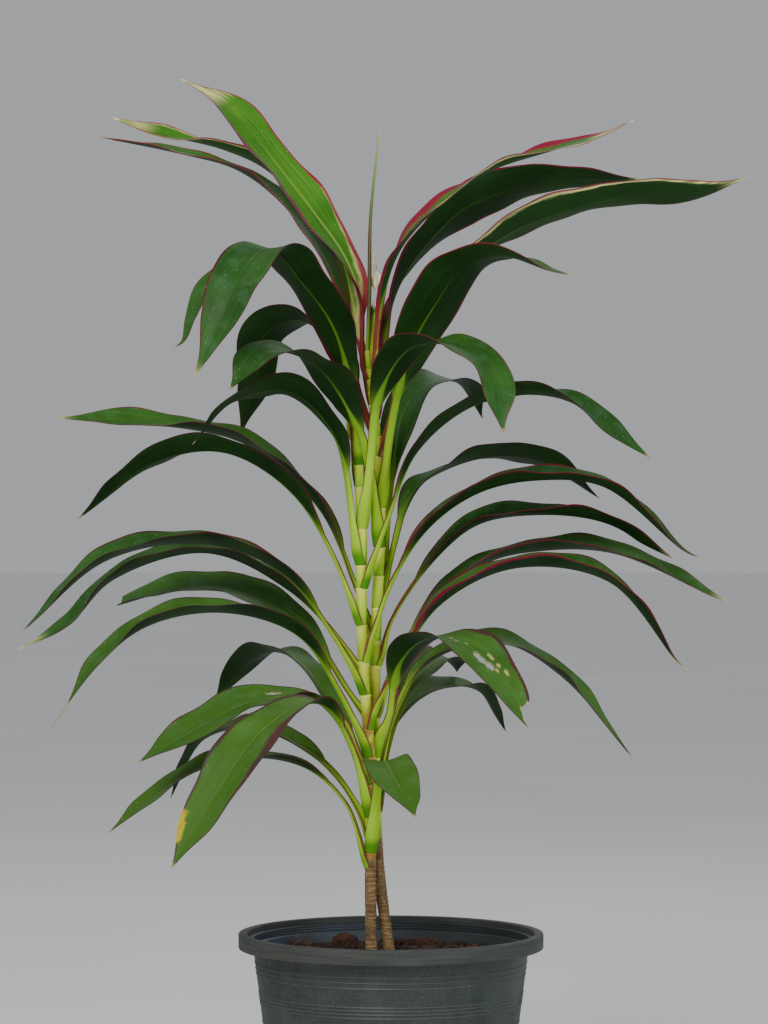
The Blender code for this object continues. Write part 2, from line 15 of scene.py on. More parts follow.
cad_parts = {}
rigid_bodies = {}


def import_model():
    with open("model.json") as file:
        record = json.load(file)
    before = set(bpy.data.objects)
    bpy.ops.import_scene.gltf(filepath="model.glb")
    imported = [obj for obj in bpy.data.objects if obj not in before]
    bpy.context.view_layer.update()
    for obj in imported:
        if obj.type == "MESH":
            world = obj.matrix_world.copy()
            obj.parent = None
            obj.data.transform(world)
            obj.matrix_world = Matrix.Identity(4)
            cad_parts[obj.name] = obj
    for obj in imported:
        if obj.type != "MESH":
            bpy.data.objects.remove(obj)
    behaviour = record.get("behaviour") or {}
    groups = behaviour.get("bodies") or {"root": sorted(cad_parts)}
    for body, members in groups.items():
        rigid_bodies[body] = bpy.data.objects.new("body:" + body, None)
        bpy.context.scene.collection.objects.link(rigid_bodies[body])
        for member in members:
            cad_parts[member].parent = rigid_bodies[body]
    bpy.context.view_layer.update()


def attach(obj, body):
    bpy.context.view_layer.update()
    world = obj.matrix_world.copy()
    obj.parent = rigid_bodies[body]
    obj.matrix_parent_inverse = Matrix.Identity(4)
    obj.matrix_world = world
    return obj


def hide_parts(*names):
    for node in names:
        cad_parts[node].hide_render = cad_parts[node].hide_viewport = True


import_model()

MM = 0.001
GAP = 0.3
SEED = 11
SMOOTH_UNDER = 38.0

# Camera
EYE = (-5.8, -3000.0, 555.0)
LENS = 126.64
SENSOR = 36.0

# Studio, in metres and watts: a light's name, place, size, power and colour
FLOOR_RADIUS = 30.0
FLOOR_DROP = 0.0002
WORLD_COLOUR = (0.9, 0.92, 0.95, 1)
WORLD_STRENGTH = 0.45
LIT = (0.0, 0.0, 0.5)
LIGHTS = (
    ("key", (-0.9, -2.5, 2.4), (1.4, 1.4), 80.0, (1.0, 0.98, 0.95)),
    ("fill", (2.2, -2.0, 1.2), (1.6, 1.6), 25.0, (0.8, 0.92, 1.0)),
    ("back", (0.6, 2.2, 2.2), (1.4, 1.0), 8.0, (1.0, 1.0, 1.0)),
)

# Pot
POT_HEIGHT = 205.0
POT_SIDES = 160
FOOT_RADIUS = 90.0
RIM_RADIUS = 127.0
RIM_DEPTH = 12.5
RIM_LIP = 7.5
WALL = 2.3
WALL_TOP_RADIUS = 114.5
WALL_TOP = 191.0
STEP_RISE = 7.0
STEP_OUT = 3.3
STEP_DRAFT = 0.3
INNER_STEP = 2.2
RIM_SKIN = 2.4
CHAMFER = 1.2
FLOOR_TOP = 7.0
FOOT_RECESS = 4.0
FOOT_RING = 12.0
FOOT_SLOPE = 2.0
BOSS_RADIUS = 15.0
DRAIN_HOLES = 8
DRAIN_RADIUS = 5.0
DRAIN_CIRCLE = 62.0
RIB_TOP = 181.0
RIB_GROUP = 24.4
RIB_STEPS = ((0.0, 4.6, 9.0), (0.0, 2.8, 5.9, 8.9))
RIB_PROUD = 0.42
RIB_HALF = 0.75
GROOVE_APART = 2.1
GROOVE_PHASE = 0.6
GROOVES_MIDDLE = 196.9
GROOVES_HALF = 3.2

# Coir
SOIL_LEVEL = 188.0
SOIL_DIP = 3.0
SOIL_SIDES = 180
SOIL_RINGS = 46
CHIPS = 24
CHIP_SIZE = (8.0, 16.0)
CHIP_HEIGHT = (3.5, 6.0)
CHIP_ROUGHNESS = (0.8, 1.15)
CANE_CLEARANCE = 17.0
LARGE_CHIPS = (((-39.0, 68.0), (12.5, 10.0, 15.0)), ((30.0, 78.0), (15.0, 9.0, 7.0)))
CRUMBS = 620
CRUMB_SIZE = (0.8, 2.6)
CRUMB_LEAN = 0.6
FIBRES = 260
FIBRE_SIZE = (0.6, 1.3)
FIBRE_LEAN = 1.9
FIBRE_THICK = 0.16

# How many random draws are passed over before the coir's chips are placed
SOIL_DRAWS = 161

# Bumps in the top of the coir: how high, how wide, and where their noise is read
SOIL_BUMPS = ((2.4, 26.0, 0.0), (1.3, 8.0, 2.0), (0.8, 3.0, 4.0))

# Tufts of fluff and splinters in the coir: the middle, how far they spread, their height,
# and how many of each
TUFTS = (((-76.0, 66.0), 14.0, 13.0, 90, 6), ((12.0, 76.0), 13.0, 10.0, 60, 34))
FLUFF_CURL = 2.6
FLUFF_RISE = 0.7
FLUFF_TURN = 4.4
FLUFF_THICK = 0.14
FLUFF_LEAN = 3.0
SPLINTER_LEAN = 1.0
SPLINTER_OUTLINE = ((-5.0, 0.7), (-1.0, 1.3), (3.0, 0.9), (6.5, 0.15))

# Canes
CANE_SIDES = 28
CANE_RADIUS = 4.7
CANE_TIP_RADIUS = 2.3
CROWN_LENGTH = 75.0
BARK_TOP = {"cane_left": 262.0, "cane_right": 276.0}
SCAR_SPACING = 3.8
RING_LIP = 0.6
RING_GROOVE = 0.2
CANE_STEP = 1.1
BARK_STEP = 0.7

CANE_ROUTES = {
    "cane_left": ((-16, -6, 145), (-17, -6, 255), (-17, -6, 335), (-24, -6, 455), (-25, -6, 565),
                  (-31, -6, 645)),
    "cane_right": ((5, 8, 145), (-10, 8, 256), (-13, 8, 330), (-13, 8, 440), (-9, 8, 550), (-13, 8, 625),
                   (-20, 8, 690)),
}

# Leaves
SHEATH_RISE = 12.0
SHEATH_WRAP = 85.0
SHEATH_OPENED = 70.0
SHEATH_LEAN = 2.2
SHEATH_THICK = 1.3
BLADE_THICK = 0.8
PETIOLE_HALF_WIDTH = 4.8
PETIOLE_CURL = 62.0
PETIOLE_START = 30.0
BLADE_CURL = 14.0
BLADE_OUTLINE = (0.85, 0.72)
TAIL_START = 0.84
TAIL_WIDTH = 0.4
OPENING_SHARE = 0.25
TURNING_SHARE = 0.125
FOLD_SHARES = ((0.0, 0.0), (0.15, 1.0), (0.6, 0.9), (1.0, 0.4))
KEEL_ROUND = 2.0
TIP_HALF_WIDTH = 0.7
COARSE_ACROSS = 5
STATIONS = 100
ACROSS = 17
EATEN_STATIONS = 230
EATEN_ACROSS = 45
EATEN_RIM = 1.1
SCRAPED_RIM = 0.5
SHEATH_THINS = 60.0
FOOT_WALL = 0.5
FOOT_THICKENS = 7.0
MARGIN_THINS = 2.5
RIB_KEEL = 0.5
WAVE = 1.9
YOUNG_WAVE = 1.4
WAVES = 2.6
RUFFLE = 0.7
RIB_GROOVE = 0.55
RIB_GROOVE_WIDTH = 1.5
VEIN_SLANT = 0.3
LINE_FULL_FROM = 9.0
LINE_AT_TIP = 0.6
LINE_CHANGES = 32.0
LOW_LEAVES = (300.0, 120.0)
CROWN_LEAVES = (570.0, 50.0)
CROWN_SWELL = 1.7
# How far through its outline a leaf's path ends: one with its tip torn off, and one with a long dry tail
LENGTH_SHARES = {"leaf_left_13": 0.86, "leaf_left_14": 1.08}

# A leaf: name, cane, height of its ring, width, petiole length, turns of the blade in degrees at even steps
# from its base to its tip, the angle its halves are folded up by, and the points its midrib passes through
# after it leaves the cane
LEAVES = (
    ("leaf_right_16", "cane_left", 272, 42, 70, (0, 5, 5), 6,
     ((-12, -26, 317), (-7, -64, 351), (2, -122, 343), (19, -160, 315))),
    ("leaf_left_18", "cane_left", 259, 34, 80, (0, 12, 18), 10,
     ((-37, -4, 310), (-71, -10, 343), (-117, -20, 352), (-170, -34, 338), (-232, -46, 292))),
    ("leaf_left_19", "cane_left", 284, 36, 80, (5, 12, 10), 14,
     ((-41, 8, 327), (-70, 36, 353), (-116, 72, 371), (-164, 106, 357), (-191, 124, 307))),
    ("leaf_left_17", "cane_left", 301, 48, 85, (-10, 16, 22), 8,
     ((-32, -24, 357), (-58, -50, 398), (-101, -98, 382), (-142, -140, 327), (-173, -166, 275))),
    ("leaf_left_16", "cane_left", 328, 42, 80, (5, 28, 26), 10,
     ((-39, -14, 381), (-65, -24, 401), (-116, -44, 399), (-164, -62, 375), (-205, -76, 352))),
    ("leaf_left_14", "cane_left", 351, 42, 80, (-5, 6, 26), 24,
     ((-44, -24, 406), (-77, -36, 454), (-136, -46, 473), (-197, -52, 463), (-240, -56, 431),
      (-277, -58, 379))),
    ("leaf_right_12", "cane_left", 374, 42, 80, (0, 6, 8), 24,
     ((7, -17, 428), (41, -14, 479), (103, -10, 509), (182, -6, 497), (238, 0, 431), (247, 0, 424))),
    ("leaf_left_11", "cane_left", 403, 44, 80, (-4, 8, 16), 22,
     ((-48, -16, 451), (-90, -22, 505), (-153, -29, 529), (-233, -36, 516), (-303, -42, 457))),
    ("leaf_right_09", "cane_left", 430, 42, 85, (-2, 6, 12), 22,
     ((1, -15, 495), (32, -13, 543), (74, -10, 572), (124, -6, 582), (178, -2, 576), (244, 2, 523),
      (260, 4, 516))),
    ("leaf_left_10", "cane_left", 461, 40, 80, (-6, -20, -32), 18,
     ((-47, -12, 514), (-79, -16, 568), (-121, -19, 599), (-154, -21, 606), (-199, -23, 595),
      (-258, -26, 550))),
    ("leaf_right_07", "cane_left", 491, 40, 80, (0, -20, 70), 12,
     ((-1, -14, 550), (22, -10, 606), (74, -4, 646), (141, 2, 650), (216, 8, 601))),
    ("leaf_left_08", "cane_left", 511, 40, 80, (25, -26, -15), 8,
     ((-34, -13, 553), (-47, -24, 619), (-83, -44, 654), (-129, -66, 645), (-161, -80, 610))),
    ("leaf_right_05", "cane_left", 541, 46, 105, (-30, 5, 18), 8,
     ((-16, -28, 598), (-9, -50, 651), (17, -86, 689), (53, -112, 687), (79, -132, 667), (89, -150, 618))),
    ("leaf_left_06", "cane_left", 576, 42, 70, (5, -30, -10), 10,
     ((-33, 10, 632), (-44, 30, 688), (-77, 58, 718), (-110, 84, 704), (-117, 104, 667), (-130, 118, 622))),
    ("leaf_left_04", "cane_left", 594, 50, 60, (-45, 5, 38), 8,
     ((-34, -26, 660), (-48, -44, 708), (-74, -68, 744), (-99, -104, 767), (-122, -136, 741),
      (-133, -148, 713), (-148, -155, 677), (-156, -158, 662))),
    ("leaf_left_05", "cane_left", 611, 34, 60, (5, 8, 8), 14,
     ((-38, -8, 673), (-59, -18, 730), (-104, -36, 761), (-146, -56, 741), (-162, -66, 713), (-169, -70, 694),
      (-178, -72, 688))),
    ("leaf_left_15", "cane_right", 289, 38, 80, (5, -10, -15), 14,
     ((-33, 28, 359), (-69, 64, 419), (-97, 96, 435), (-124, 128, 425), (-156, 160, 386))),
    ("leaf_right_15", "cane_right", 304, 36, 80, (5, 12, 10), 14,
     ((-2, 34, 363), (15, 66, 392), (49, 106, 405), (79, 134, 398), (101, 154, 363))),
    ("leaf_right_17", "cane_right", 320, 34, 80, (5, 12, 10), 14,
     ((3, 23, 374), (19, 44, 411), (42, 84, 429), (54, 118, 426), (58, 140, 416))),
    ("leaf_right_14", "cane_right", 335, 40, 80, (5, 20, 22), 12,
     ((1, 15, 378), (29, 28, 427), (92, 46, 445), (146, 62, 415), (206, 76, 346))),
    ("leaf_right_13", "cane_right", 350, 46, 70, (-25, 10, 20), 6,
     ((0, -14, 386), (7, -42, 430), (29, -78, 453), (58, -110, 450), (82, -136, 429), (112, -164, 381))),
    ("leaf_left_13", "cane_right", 366, 42, 80, (15, 26, 18), 12,
     ((-39, 24, 407), (-77, 48, 460), (-129, 76, 487), (-177, 98, 491), (-233, 112, 476))),
    ("leaf_right_11", "cane_right", 383, 40, 80, (-2, 6, 38), 22,
     ((3, 14, 424), (35, 26, 476), (79, 36, 512), (130, 44, 523), (190, 52, 520), (286, 60, 479))),
    ("leaf_left_12", "cane_right", 398, 42, 80, (-4, 8, 30), 20,
     ((-38, 20, 439), (-85, 30, 489), (-155, 38, 521), (-235, 46, 498), (-273, 50, 460), (-315, 53, 439))),
    ("leaf_right_10", "cane_right", 426, 40, 80, (8, 12, -30), 22,
     ((1, 9, 463), (39, 16, 518), (73, 22, 545), (121, 28, 553), (178, 34, 547), (238, 40, 516))),
    ("leaf_left_09", "cane_right", 448, 42, 80, (-8, 4, 42), 18,
     ((-33, 16, 498), (-60, 24, 558), (-119, 34, 611), (-197, 42, 629), (-281, 48, 635))),
    ("leaf_right_08", "cane_right", 474, 38, 80, (10, -25, -20), 12,
     ((3, 18, 523), (19, 34, 572), (48, 54, 592), (91, 76, 603), (135, 94, 597), (180, 108, 567))),
    ("leaf_right_06", "cane_right", 502, 40, 80, (5, 10, 10), 12,
     ((1, 24, 582), (12, 46, 643), (38, 80, 667), (67, 118, 662), (80, 142, 637))),
    ("leaf_left_07", "cane_right", 525, 44, 108, (-30, 10, 30), 8,
     ((-16, -9, 577), (-28, -42, 624), (-61, -86, 674), (-103, -128, 682), (-128, -150, 652))),
    ("leaf_right_04", "cane_right", 559, 48, 95, (-45, -25, 10), 8,
     ((1, -14, 627), (17, -42, 690), (37, -64, 726), (58, -84, 753), (89, -104, 761), (127, -120, 748),
      (145, -126, 744))),
    ("leaf_right_03", "cane_right", 601, 42, 90, (-15, -30, -40), 10,
     ((8, 6, 661), (41, 10, 739), (100, 16, 789), (192, 22, 819), (260, 25, 824), (300, 26, 836))),
    ("leaf_left_03", "cane_right", 619, 40, 60, (-10, 5, 5), 8,
     ((-33, 11, 680), (-44, 19, 736), (-61, 28, 778), (-98, 42, 822), (-132, 52, 846), (-179, 64, 860),
      (-251, 78, 876))),
    ("leaf_right_02", "cane_right", 632, 44, 60, (-30, -60, -20), 8,
     ((-7, 17, 672), (2, 29, 733), (16, 36, 762), (36, 46, 788), (63, 56, 813), (101, 66, 829),
      (144, 76, 838), (215, 88, 840))),
    ("leaf_left_02", "cane_right", 644, 38, 60, (5, 0, -5, -5, 70), 14,
     ((-28, 30, 704), (-45, 56, 777), (-104, 90, 847), (-143, 102, 867), (-191, 112, 880), (-240, 118, 896))),
    ("leaf_right_01", "cane_right", 655, 38, 60, (18, 12, 2, 12, 22), 6,
     ((-9, 1, 715), (8, 4, 775), (73, 9, 835), (133, 12, 857), (175, 14, 870), (203, 15, 883))),
    ("leaf_left_01", "cane_right", 665, 44, 55, (25, 32, 30), 6,
     ((-26, 9, 732), (-38, 12, 767), (-64, 17, 805), (-96, 25, 847), (-134, 35, 894), (-177, 44, 921))),
    ("leaf_young", "cane_right", 675, 8, 40, (0, 0, 0), 0,
     ((-14, 13, 707), (-11, 13, 740), (-15, 13, 775))),
)

# How young a leaf is, from 0 for a grown one, how far down from its tip it is pale, and the line along its
# nearer and its farther margin: the line's width in mm, its redness, and the width of the cream inside it
PLAIN = (0.0, 0.0, (1.3, 0.0, 0.0), (1.3, 0.0, 0.0))
LOOKS = {
    "leaf_young": (1.0, 7.0, (0.0, 0.0, 0.0), (0.0, 0.0, 0.0)),
    "leaf_left_01": (1.0, 1.4, (2.4, 0.3, 0.0), (2.8, 1.0, 1.3)),
    "leaf_left_02": (0.9, 1.0, (2.4, 1.0, 1.4), (2.6, 1.0, 3.0)),
    "leaf_left_03": (0.5, 0.4, (2.6, 0.9, 0.0), (2.6, 0.8, 0.0)),
    "leaf_left_04": (0.0, 0.3, (1.1, 0.2, 0.0), (2.6, 0.35, 0.0)),
    "leaf_left_05": (0.1, 0.1, (1.4, 0.4, 0.0), (1.4, 0.4, 0.0)),
    "leaf_left_06": (0.0, 0.0, (1.1, 0.15, 0.0), (1.1, 0.15, 0.0)),
    "leaf_left_08": (0.0, 0.0, (0.8, 0.1, 0.0), (0.8, 0.1, 0.0)),
    "leaf_left_09": (0.3, 0.4, (1.5, 0.3, 0.0), (1.5, 0.3, 0.0)),
    "leaf_left_11": (0.0, 0.0, (1.5, 0.05, 0.0), (2.4, 0.25, 0.0)),
    "leaf_left_12": (0.0, 0.7, (1.3, 0.1, 0.0), (1.3, 0.1, 0.0)),
    "leaf_left_16": (0.0, 0.0, (2.0, 0.0, 0.0), (1.6, 0.05, 0.0)),
    "leaf_left_17": (0.0, 0.0, (2.4, 0.0, 0.0), (3.6, 0.0, 0.0)),
    "leaf_right_01": (0.8, 1.2, (1.8, 0.6, 3.4), (10.0, 1.0, 0.0)),
    "leaf_right_02": (0.2, 0.3, (2.0, 0.8, 0.0), (2.2, 0.9, 0.0)),
    "leaf_right_03": (0.3, 0.6, (1.9, 0.7, 3.0), (1.4, 0.6, 0.0)),
    "leaf_right_04": (0.1, 0.3, (1.3, 0.75, 0.0), (1.3, 0.75, 0.0)),
    "leaf_right_05": (0.1, 0.0, (1.0, 0.4, 0.0), (1.3, 0.5, 0.0)),
    "leaf_right_09": (0.0, 0.3, (1.8, 0.4, 0.0), (1.6, 0.3, 0.0)),
    "leaf_right_10": (0.0, 0.4, (1.8, 0.5, 0.0), (1.6, 0.4, 0.0)),
    "leaf_right_11": (0.1, 0.4, (1.8, 0.5, 0.0), (1.6, 0.4, 0.0)),
    "leaf_right_12": (0.0, 0.6, (2.6, 0.7, 0.0), (1.8, 0.3, 0.0)),
    "leaf_right_13": (0.0, 0.0, (1.4, 0.1, 0.0), (5.5, 0.1, 0.0)),
}

# From where to where along a leaf its margins are cream, where that isn't all of it
CREAM_SPANS = {"leaf_left_01": (-2.0, 0.32), "leaf_right_01": (0.25, 2.0)}

# Where the line on a leaf's margin swells: 1 for the nearer margin or -1 for the farther, the share of
# its length, how far to each side, and the width
LINE_SWELLS = {
    "leaf_left_17": ((1, 0.42, 0.36, 12.0),),
    "leaf_left_01": ((1, 0.55, 0.35, 6.0), (-1, 0.2, 0.35, 3.8)),
    "leaf_left_04": ((-1, 0.75, 0.3, 3.4),),
    "leaf_right_09": ((1, 0.15, 0.25, 3.0),),
    "leaf_right_11": ((1, 0.15, 0.25, 3.2),),
    "leaf_right_12": ((1, 0.14, 0.3, 5.5),),
}

# Holes eaten in a leaf: share of its length, share of its half width, half length and half width in mm
EATEN = {
    "leaf_right_13": ((0.64, 0.15, 6.5, 2.8), (0.69, 0.05, 4.0, 2.4), (0.92, -0.75, 8.0, 6.0),
                      (0.96, -0.6, 11.0, 3.6)),
    "leaf_left_16": ((0.25, 0.35, 4.5, 1.4),),
}

# Marks where only the skin of a leaf was eaten, in the same way
SCRAPED = {
    "leaf_right_13": ((0.65, -0.28, 4.5, 1.3), (0.7, -0.3, 2.4, 1.4), (0.74, -0.42, 3.0, 1.5),
                      (0.72, -0.1, 2.2, 1.2), (0.5, 0.1, 3.0, 0.9), (0.46, 0.0, 2.0, 1.3),
                      (0.54, -0.05, 1.6, 0.8)),
}

# A yellowed patch: share of the leaf's length, share of its half width, half length and half width in mm
YELLOWED = {"leaf_left_17": (0.865, 0.9, 16.0, 5.4)}

# A rolled new leaf: its outline as (share of its length, share of its radius)
SPEAR_OUTLINE = ((0.0, 0.75), (0.12, 1.0), (0.3, 0.95), (0.5, 0.8), (0.7, 0.6), (0.86, 0.4), (1.0, 0.16))
SPEAR_TURNS = 1.35
SPEAR_STATIONS = 70
SPEAR_ACROSS = 33
SPEAR_WALL = 0.3

# Its cane, its radius, and the points it passes through above the cane's top
SPEARS = {
    "spear_right": ("cane_right", 1.9, ((-18, 9, 735), (-17, 10, 800), (-9, 11, 877))),
    "spear_left": ("cane_left", 1.8, ((-33, -4, 668), (-34, -3, 690))),
}


# Leaf colours
DEEP_GREEN = (0.014, 0.062, 0.008, 1)
LOWER_DEEP = (0.045, 0.12, 0.012, 1)
LEAF_GREEN = (0.035, 0.115, 0.018, 1)
LOWER_GREEN = (0.08, 0.195, 0.024, 1)
# Painted sheen: a blue green tint laid in patches over the tops of the leaves
PAINTED_SHEEN = (0.09, 0.2, 0.11, 1)
FRESH_GREEN = (0.035, 0.16, 0.008, 1)
YOUNG_GREEN = (0.075, 0.26, 0.012, 1)
# Undersides: their own green, darkened with painted shade since they face away from the light
UNDERSIDE_SHADE_DEEP = (0.003, 0.018, 0.002, 1)
UNDERSIDE_SHADE_GREEN = (0.010, 0.045, 0.004, 1)
UNDERSIDE_SHADE_YOUNG = (0.02, 0.09, 0.006, 1)
SHEATH_PALE = (0.72, 0.79, 0.07, 1)
RING_PALE = (0.86, 0.9, 0.17, 1)
SHEATH_GREEN = (0.28, 0.53, 0.012, 1)
FOOT_GREEN = (0.07, 0.27, 0.005, 1)
STALK_YELLOW = (0.42, 0.7, 0.03, 1)
STALK_GREEN = (0.27, 0.52, 0.02, 1)
RIB_GREEN = (0.08, 0.22, 0.015, 1)
RIB_PALE = (0.4, 0.5, 0.1, 1)
CREAM = (0.72, 0.7, 0.28, 1)
NEW_WHITE = (0.85, 0.82, 0.5, 1)
CRIMSON = (0.27, 0.0, 0.04, 1)
MAUVE = (0.13, 0.035, 0.09, 1)
BURGUNDY = (0.04, 0.005, 0.01, 1)
PURPLE_BROWN = (0.06, 0.025, 0.028, 1)
DRIED = (0.36, 0.25, 0.12, 1)
SCRAPED_TAN = (0.42, 0.38, 0.15, 1)
LIME_WHITE = (0.5, 0.54, 0.42, 1)
YELLOWED_LEAF = (0.42, 0.4, 0.005, 1)
ORANGED_LEAF = (0.6, 0.26, 0.008, 1)
SPEAR_BROWN = (0.1, 0.055, 0.03, 1)
SPEAR_GREEN = (0.1, 0.2, 0.025, 1)

# Cane colours
SCAR_BROWN = (0.2, 0.11, 0.035, 1)
SCAR_DARK = (0.07, 0.04, 0.02, 1)
TAN = (0.33, 0.16, 0.03, 1)
BARK_BROWN = (0.17, 0.092, 0.036, 1)
BARK_PALE = (0.28, 0.175, 0.078, 1)
BARK_CHALK = (0.45, 0.34, 0.18, 1)
BARK_DARK = (0.07, 0.038, 0.02, 1)

# Pot colours
SLATE_DARK = (0.005, 0.009, 0.009, 1)
SLATE = (0.011, 0.027, 0.029, 1)
SLATE_OLIVE = (0.019, 0.024, 0.018, 1)
SLATE_PALE = (0.026, 0.04, 0.037, 1)
DUST = (0.09, 0.1, 0.085, 1)
RIM_GREY = (0.027, 0.031, 0.027, 1)
RIM_DUST = (0.052, 0.057, 0.047, 1)
# Painted shadow along the grooves inside the pot
GROOVE_SHADOW = (0.004, 0.005, 0.006, 1)
INNER_BLUE = (0.07, 0.092, 0.118, 1)
INNER_DARK = (0.034, 0.044, 0.047, 1)

# Floor colours
FLOOR_LOW = (0.86, 0.86, 0.85, 1)
FLOOR_HIGH = (0.9, 0.9, 0.89, 1)

# Coir colours
COIR_BLACK = (0.007, 0.004, 0.003, 1)
COIR_PALE = (0.14, 0.075, 0.04, 1)
COIR_RED = (0.045, 0.016, 0.009, 1)
HUSK_BLACK = (0.018, 0.007, 0.005, 1)
HUSK_PALE = (0.13, 0.05, 0.028, 1)
HUSK_RED = (0.1, 0.024, 0.012, 1)
FIBRE_BROWN = (0.1, 0.05, 0.028, 1)
FIBRE_PALE = (0.3, 0.19, 0.1, 1)
FIBRE_RED = (0.18, 0.08, 0.04, 1)


# Shader nodes


def node(tree, kind, inputs=None, **settings):
    """A node with its settings, and its inputs set or joined."""
    made = tree.nodes.new(kind)
    for key, value in settings.items():
        setattr(made, key, value)
    for key, value in (inputs or {}).items():
        if isinstance(value, bpy.types.NodeSocket):
            tree.links.new(value, made.inputs[key])
        else:
            made.inputs[key].default_value = value
    return made


def maths(tree, operation, *values):
    """Values put through a maths node."""
    return node(tree, "ShaderNodeMath", dict(enumerate(values)), operation=operation).outputs[0]


def times(tree, *values):
    """Two values multiplied."""
    return maths(tree, "MULTIPLY", *values)


def plus(tree, *values):
    """Two values added."""
    return maths(tree, "ADD", *values)


def fade(tree, value, start, end, low=0.0, high=1.0):
    """A smooth step from low at start to high at end."""
    made = node(
        tree,
        "ShaderNodeMapRange",
        {"Value": value, "From Min": start, "From Max": end, "To Min": low, "To Max": high},
        interpolation_type="SMOOTHSTEP",
    )
    return made.outputs["Result"]


def blend_share(tree, share, first, second):
    """One value blended into another by a share."""
    return node(tree, "ShaderNodeMix", {0: share, 2: first, 3: second}).outputs[0]


def blend_colour(tree, share, first, second):
    """One colour blended into another by a share."""
    inputs = {0: share, 6: first, 7: second}
    return node(tree, "ShaderNodeMix", inputs, data_type="RGBA", blend_type="MIX").outputs[2]


def shades(tree, share, *stops):
    """A colour ramp through (place, colour) stops."""
    made = node(tree, "ShaderNodeValToRGB", {"Fac": share})
    ramp = made.color_ramp
    while len(ramp.elements) < len(stops):
        ramp.elements.new(1.0)
    for element, (place, colour) in zip(ramp.elements, stops):
        element.position = place
        element.color = colour
    return made.outputs["Color"]


def group(name, inputs, outputs):
    """An empty node group with named float inputs and outputs, and its two end nodes."""
    tree = bpy.data.node_groups.new(name, "ShaderNodeTree")
    for label, value in inputs.items():
        tree.interface.new_socket(label, in_out="INPUT", socket_type="NodeSocketFloat").default_value = value
    for label in outputs:
        tree.interface.new_socket(label, in_out="OUTPUT", socket_type="NodeSocketFloat")
    return tree, tree.nodes.new("NodeGroupInput").outputs, tree.nodes.new("NodeGroupOutput").inputs


def place(tree, made, **inputs):
    """A node group placed in a tree, with its inputs set or joined."""
    placed = node(tree, "ShaderNodeGroup")
    placed.node_tree = made
    for key, value in inputs.items():
        if isinstance(value, bpy.types.NodeSocket):
            tree.links.new(value, placed.inputs[key])
        else:
            placed.inputs[key].default_value = value
    return placed.outputs


def make_streaks():
    """Streaks that run along a leaf, a cane or a wall, from distances across and along it."""
    given = {"Across": 0.0, "Along": 0.0, "Width": 1.0, "Length": 30.0, "Chance": 0.0}
    tree, given, result = group("streaks", given, ("Mask",))
    across = maths(tree, "DIVIDE", given["Across"], given["Width"])
    along = maths(tree, "DIVIDE", given["Along"], given["Length"])
    spot = node(tree, "ShaderNodeCombineXYZ", {"X": across, "Y": along, "Z": given["Chance"]}).outputs[0]
    grain = node(tree, "ShaderNodeTexNoise", {"Vector": spot, "Scale": 1.0, "Detail": 3.0, "Roughness": 0.55})
    tree.links.new(fade(tree, grain.outputs["Fac"], 0.32, 0.7), result["Mask"])
    return tree


def make_mottle():
    """Uneven patches through the piece."""
    tree, given, result = group("mottle", {"Scale": 20.0, "Detail": 3.0, "Low": 0.4, "High": 0.65}, ("Mask",))
    spot = node(tree, "ShaderNodeTexCoord").outputs["Object"]
    inputs = {"Vector": spot, "Scale": given["Scale"], "Detail": given["Detail"]}
    grain = node(tree, "ShaderNodeTexNoise", inputs)
    tree.links.new(fade(tree, grain.outputs["Fac"], given["Low"], given["High"]), result["Mask"])
    return tree


def make_specks():
    """Small scattered specks of uneven size."""
    tree, given, result = group("specks", {"Scale": 300.0, "Size": 0.3, "Share": 0.2}, ("Mask",))
    spot = node(tree, "ShaderNodeTexCoord").outputs["Object"]
    cells = node(tree, "ShaderNodeTexVoronoi", {"Vector": spot, "Scale": given["Scale"]})
    chance = node(tree, "ShaderNodeSeparateColor", {"Color": cells.outputs["Color"]}).outputs["Red"]
    kept = maths(tree, "LESS_THAN", chance, given["Share"])
    near = fade(tree, cells.outputs["Distance"], given["Size"], 0.0)
    tree.links.new(times(tree, near, kept), result["Mask"])
    return tree


def make_margin():
    """A coloured line along an edge, with a soft and slightly ragged inner side."""
    tree, given, result = group("margin", {"Distance": 0.0, "Width": 1.0, "Ragged": 0.3}, ("Mask",))
    spot = node(tree, "ShaderNodeTexCoord").outputs["Object"]
    grain = node(tree, "ShaderNodeTexNoise", {"Vector": spot, "Scale": 55.0, "Detail": 3.0})
    swing = times(tree, maths(tree, "SUBTRACT", grain.outputs["Fac"], 0.5), given["Ragged"])
    width = times(tree, given["Width"], plus(tree, 1.0, times(tree, swing, 4.0)))
    inner = times(tree, width, 0.45)
    tree.links.new(fade(tree, given["Distance"], width, inner), result["Mask"])
    return tree


def make_side_veins():
    """The fine side veins of a blade, which leave the midrib at a slant."""
    tree, given, result = group("side_veins", {"Across": 0.0, "Along": 0.0, "Spacing": 1.4}, ("Height",))
    leaning = maths(tree, "SUBTRACT", given["Across"], times(tree, given["Along"], VEIN_SLANT))
    turns = times(tree, maths(tree, "DIVIDE", leaning, given["Spacing"]), 2 * math.pi)
    tree.links.new(maths(tree, "SINE", turns), result["Height"])
    return tree


def new_material(name):
    """A material, its node tree and its shader."""
    made = bpy.data.materials.new(name)
    made.use_nodes = True
    return made, made.node_tree, made.node_tree.nodes["Principled BSDF"]


def field(tree, name):
    """The three values that a piece holds under a name."""
    held = node(tree, "ShaderNodeAttribute", attribute_name=name)
    return node(tree, "ShaderNodeSeparateXYZ", {"Vector": held.outputs["Vector"]}).outputs


def bump(tree, shader, height, strength, distance):
    """Small relief that a finish gives to its piece."""
    raised = node(tree, "ShaderNodeBump", {"Height": height, "Strength": strength, "Distance": distance})
    tree.links.new(raised.outputs["Normal"], shader.inputs["Normal"])


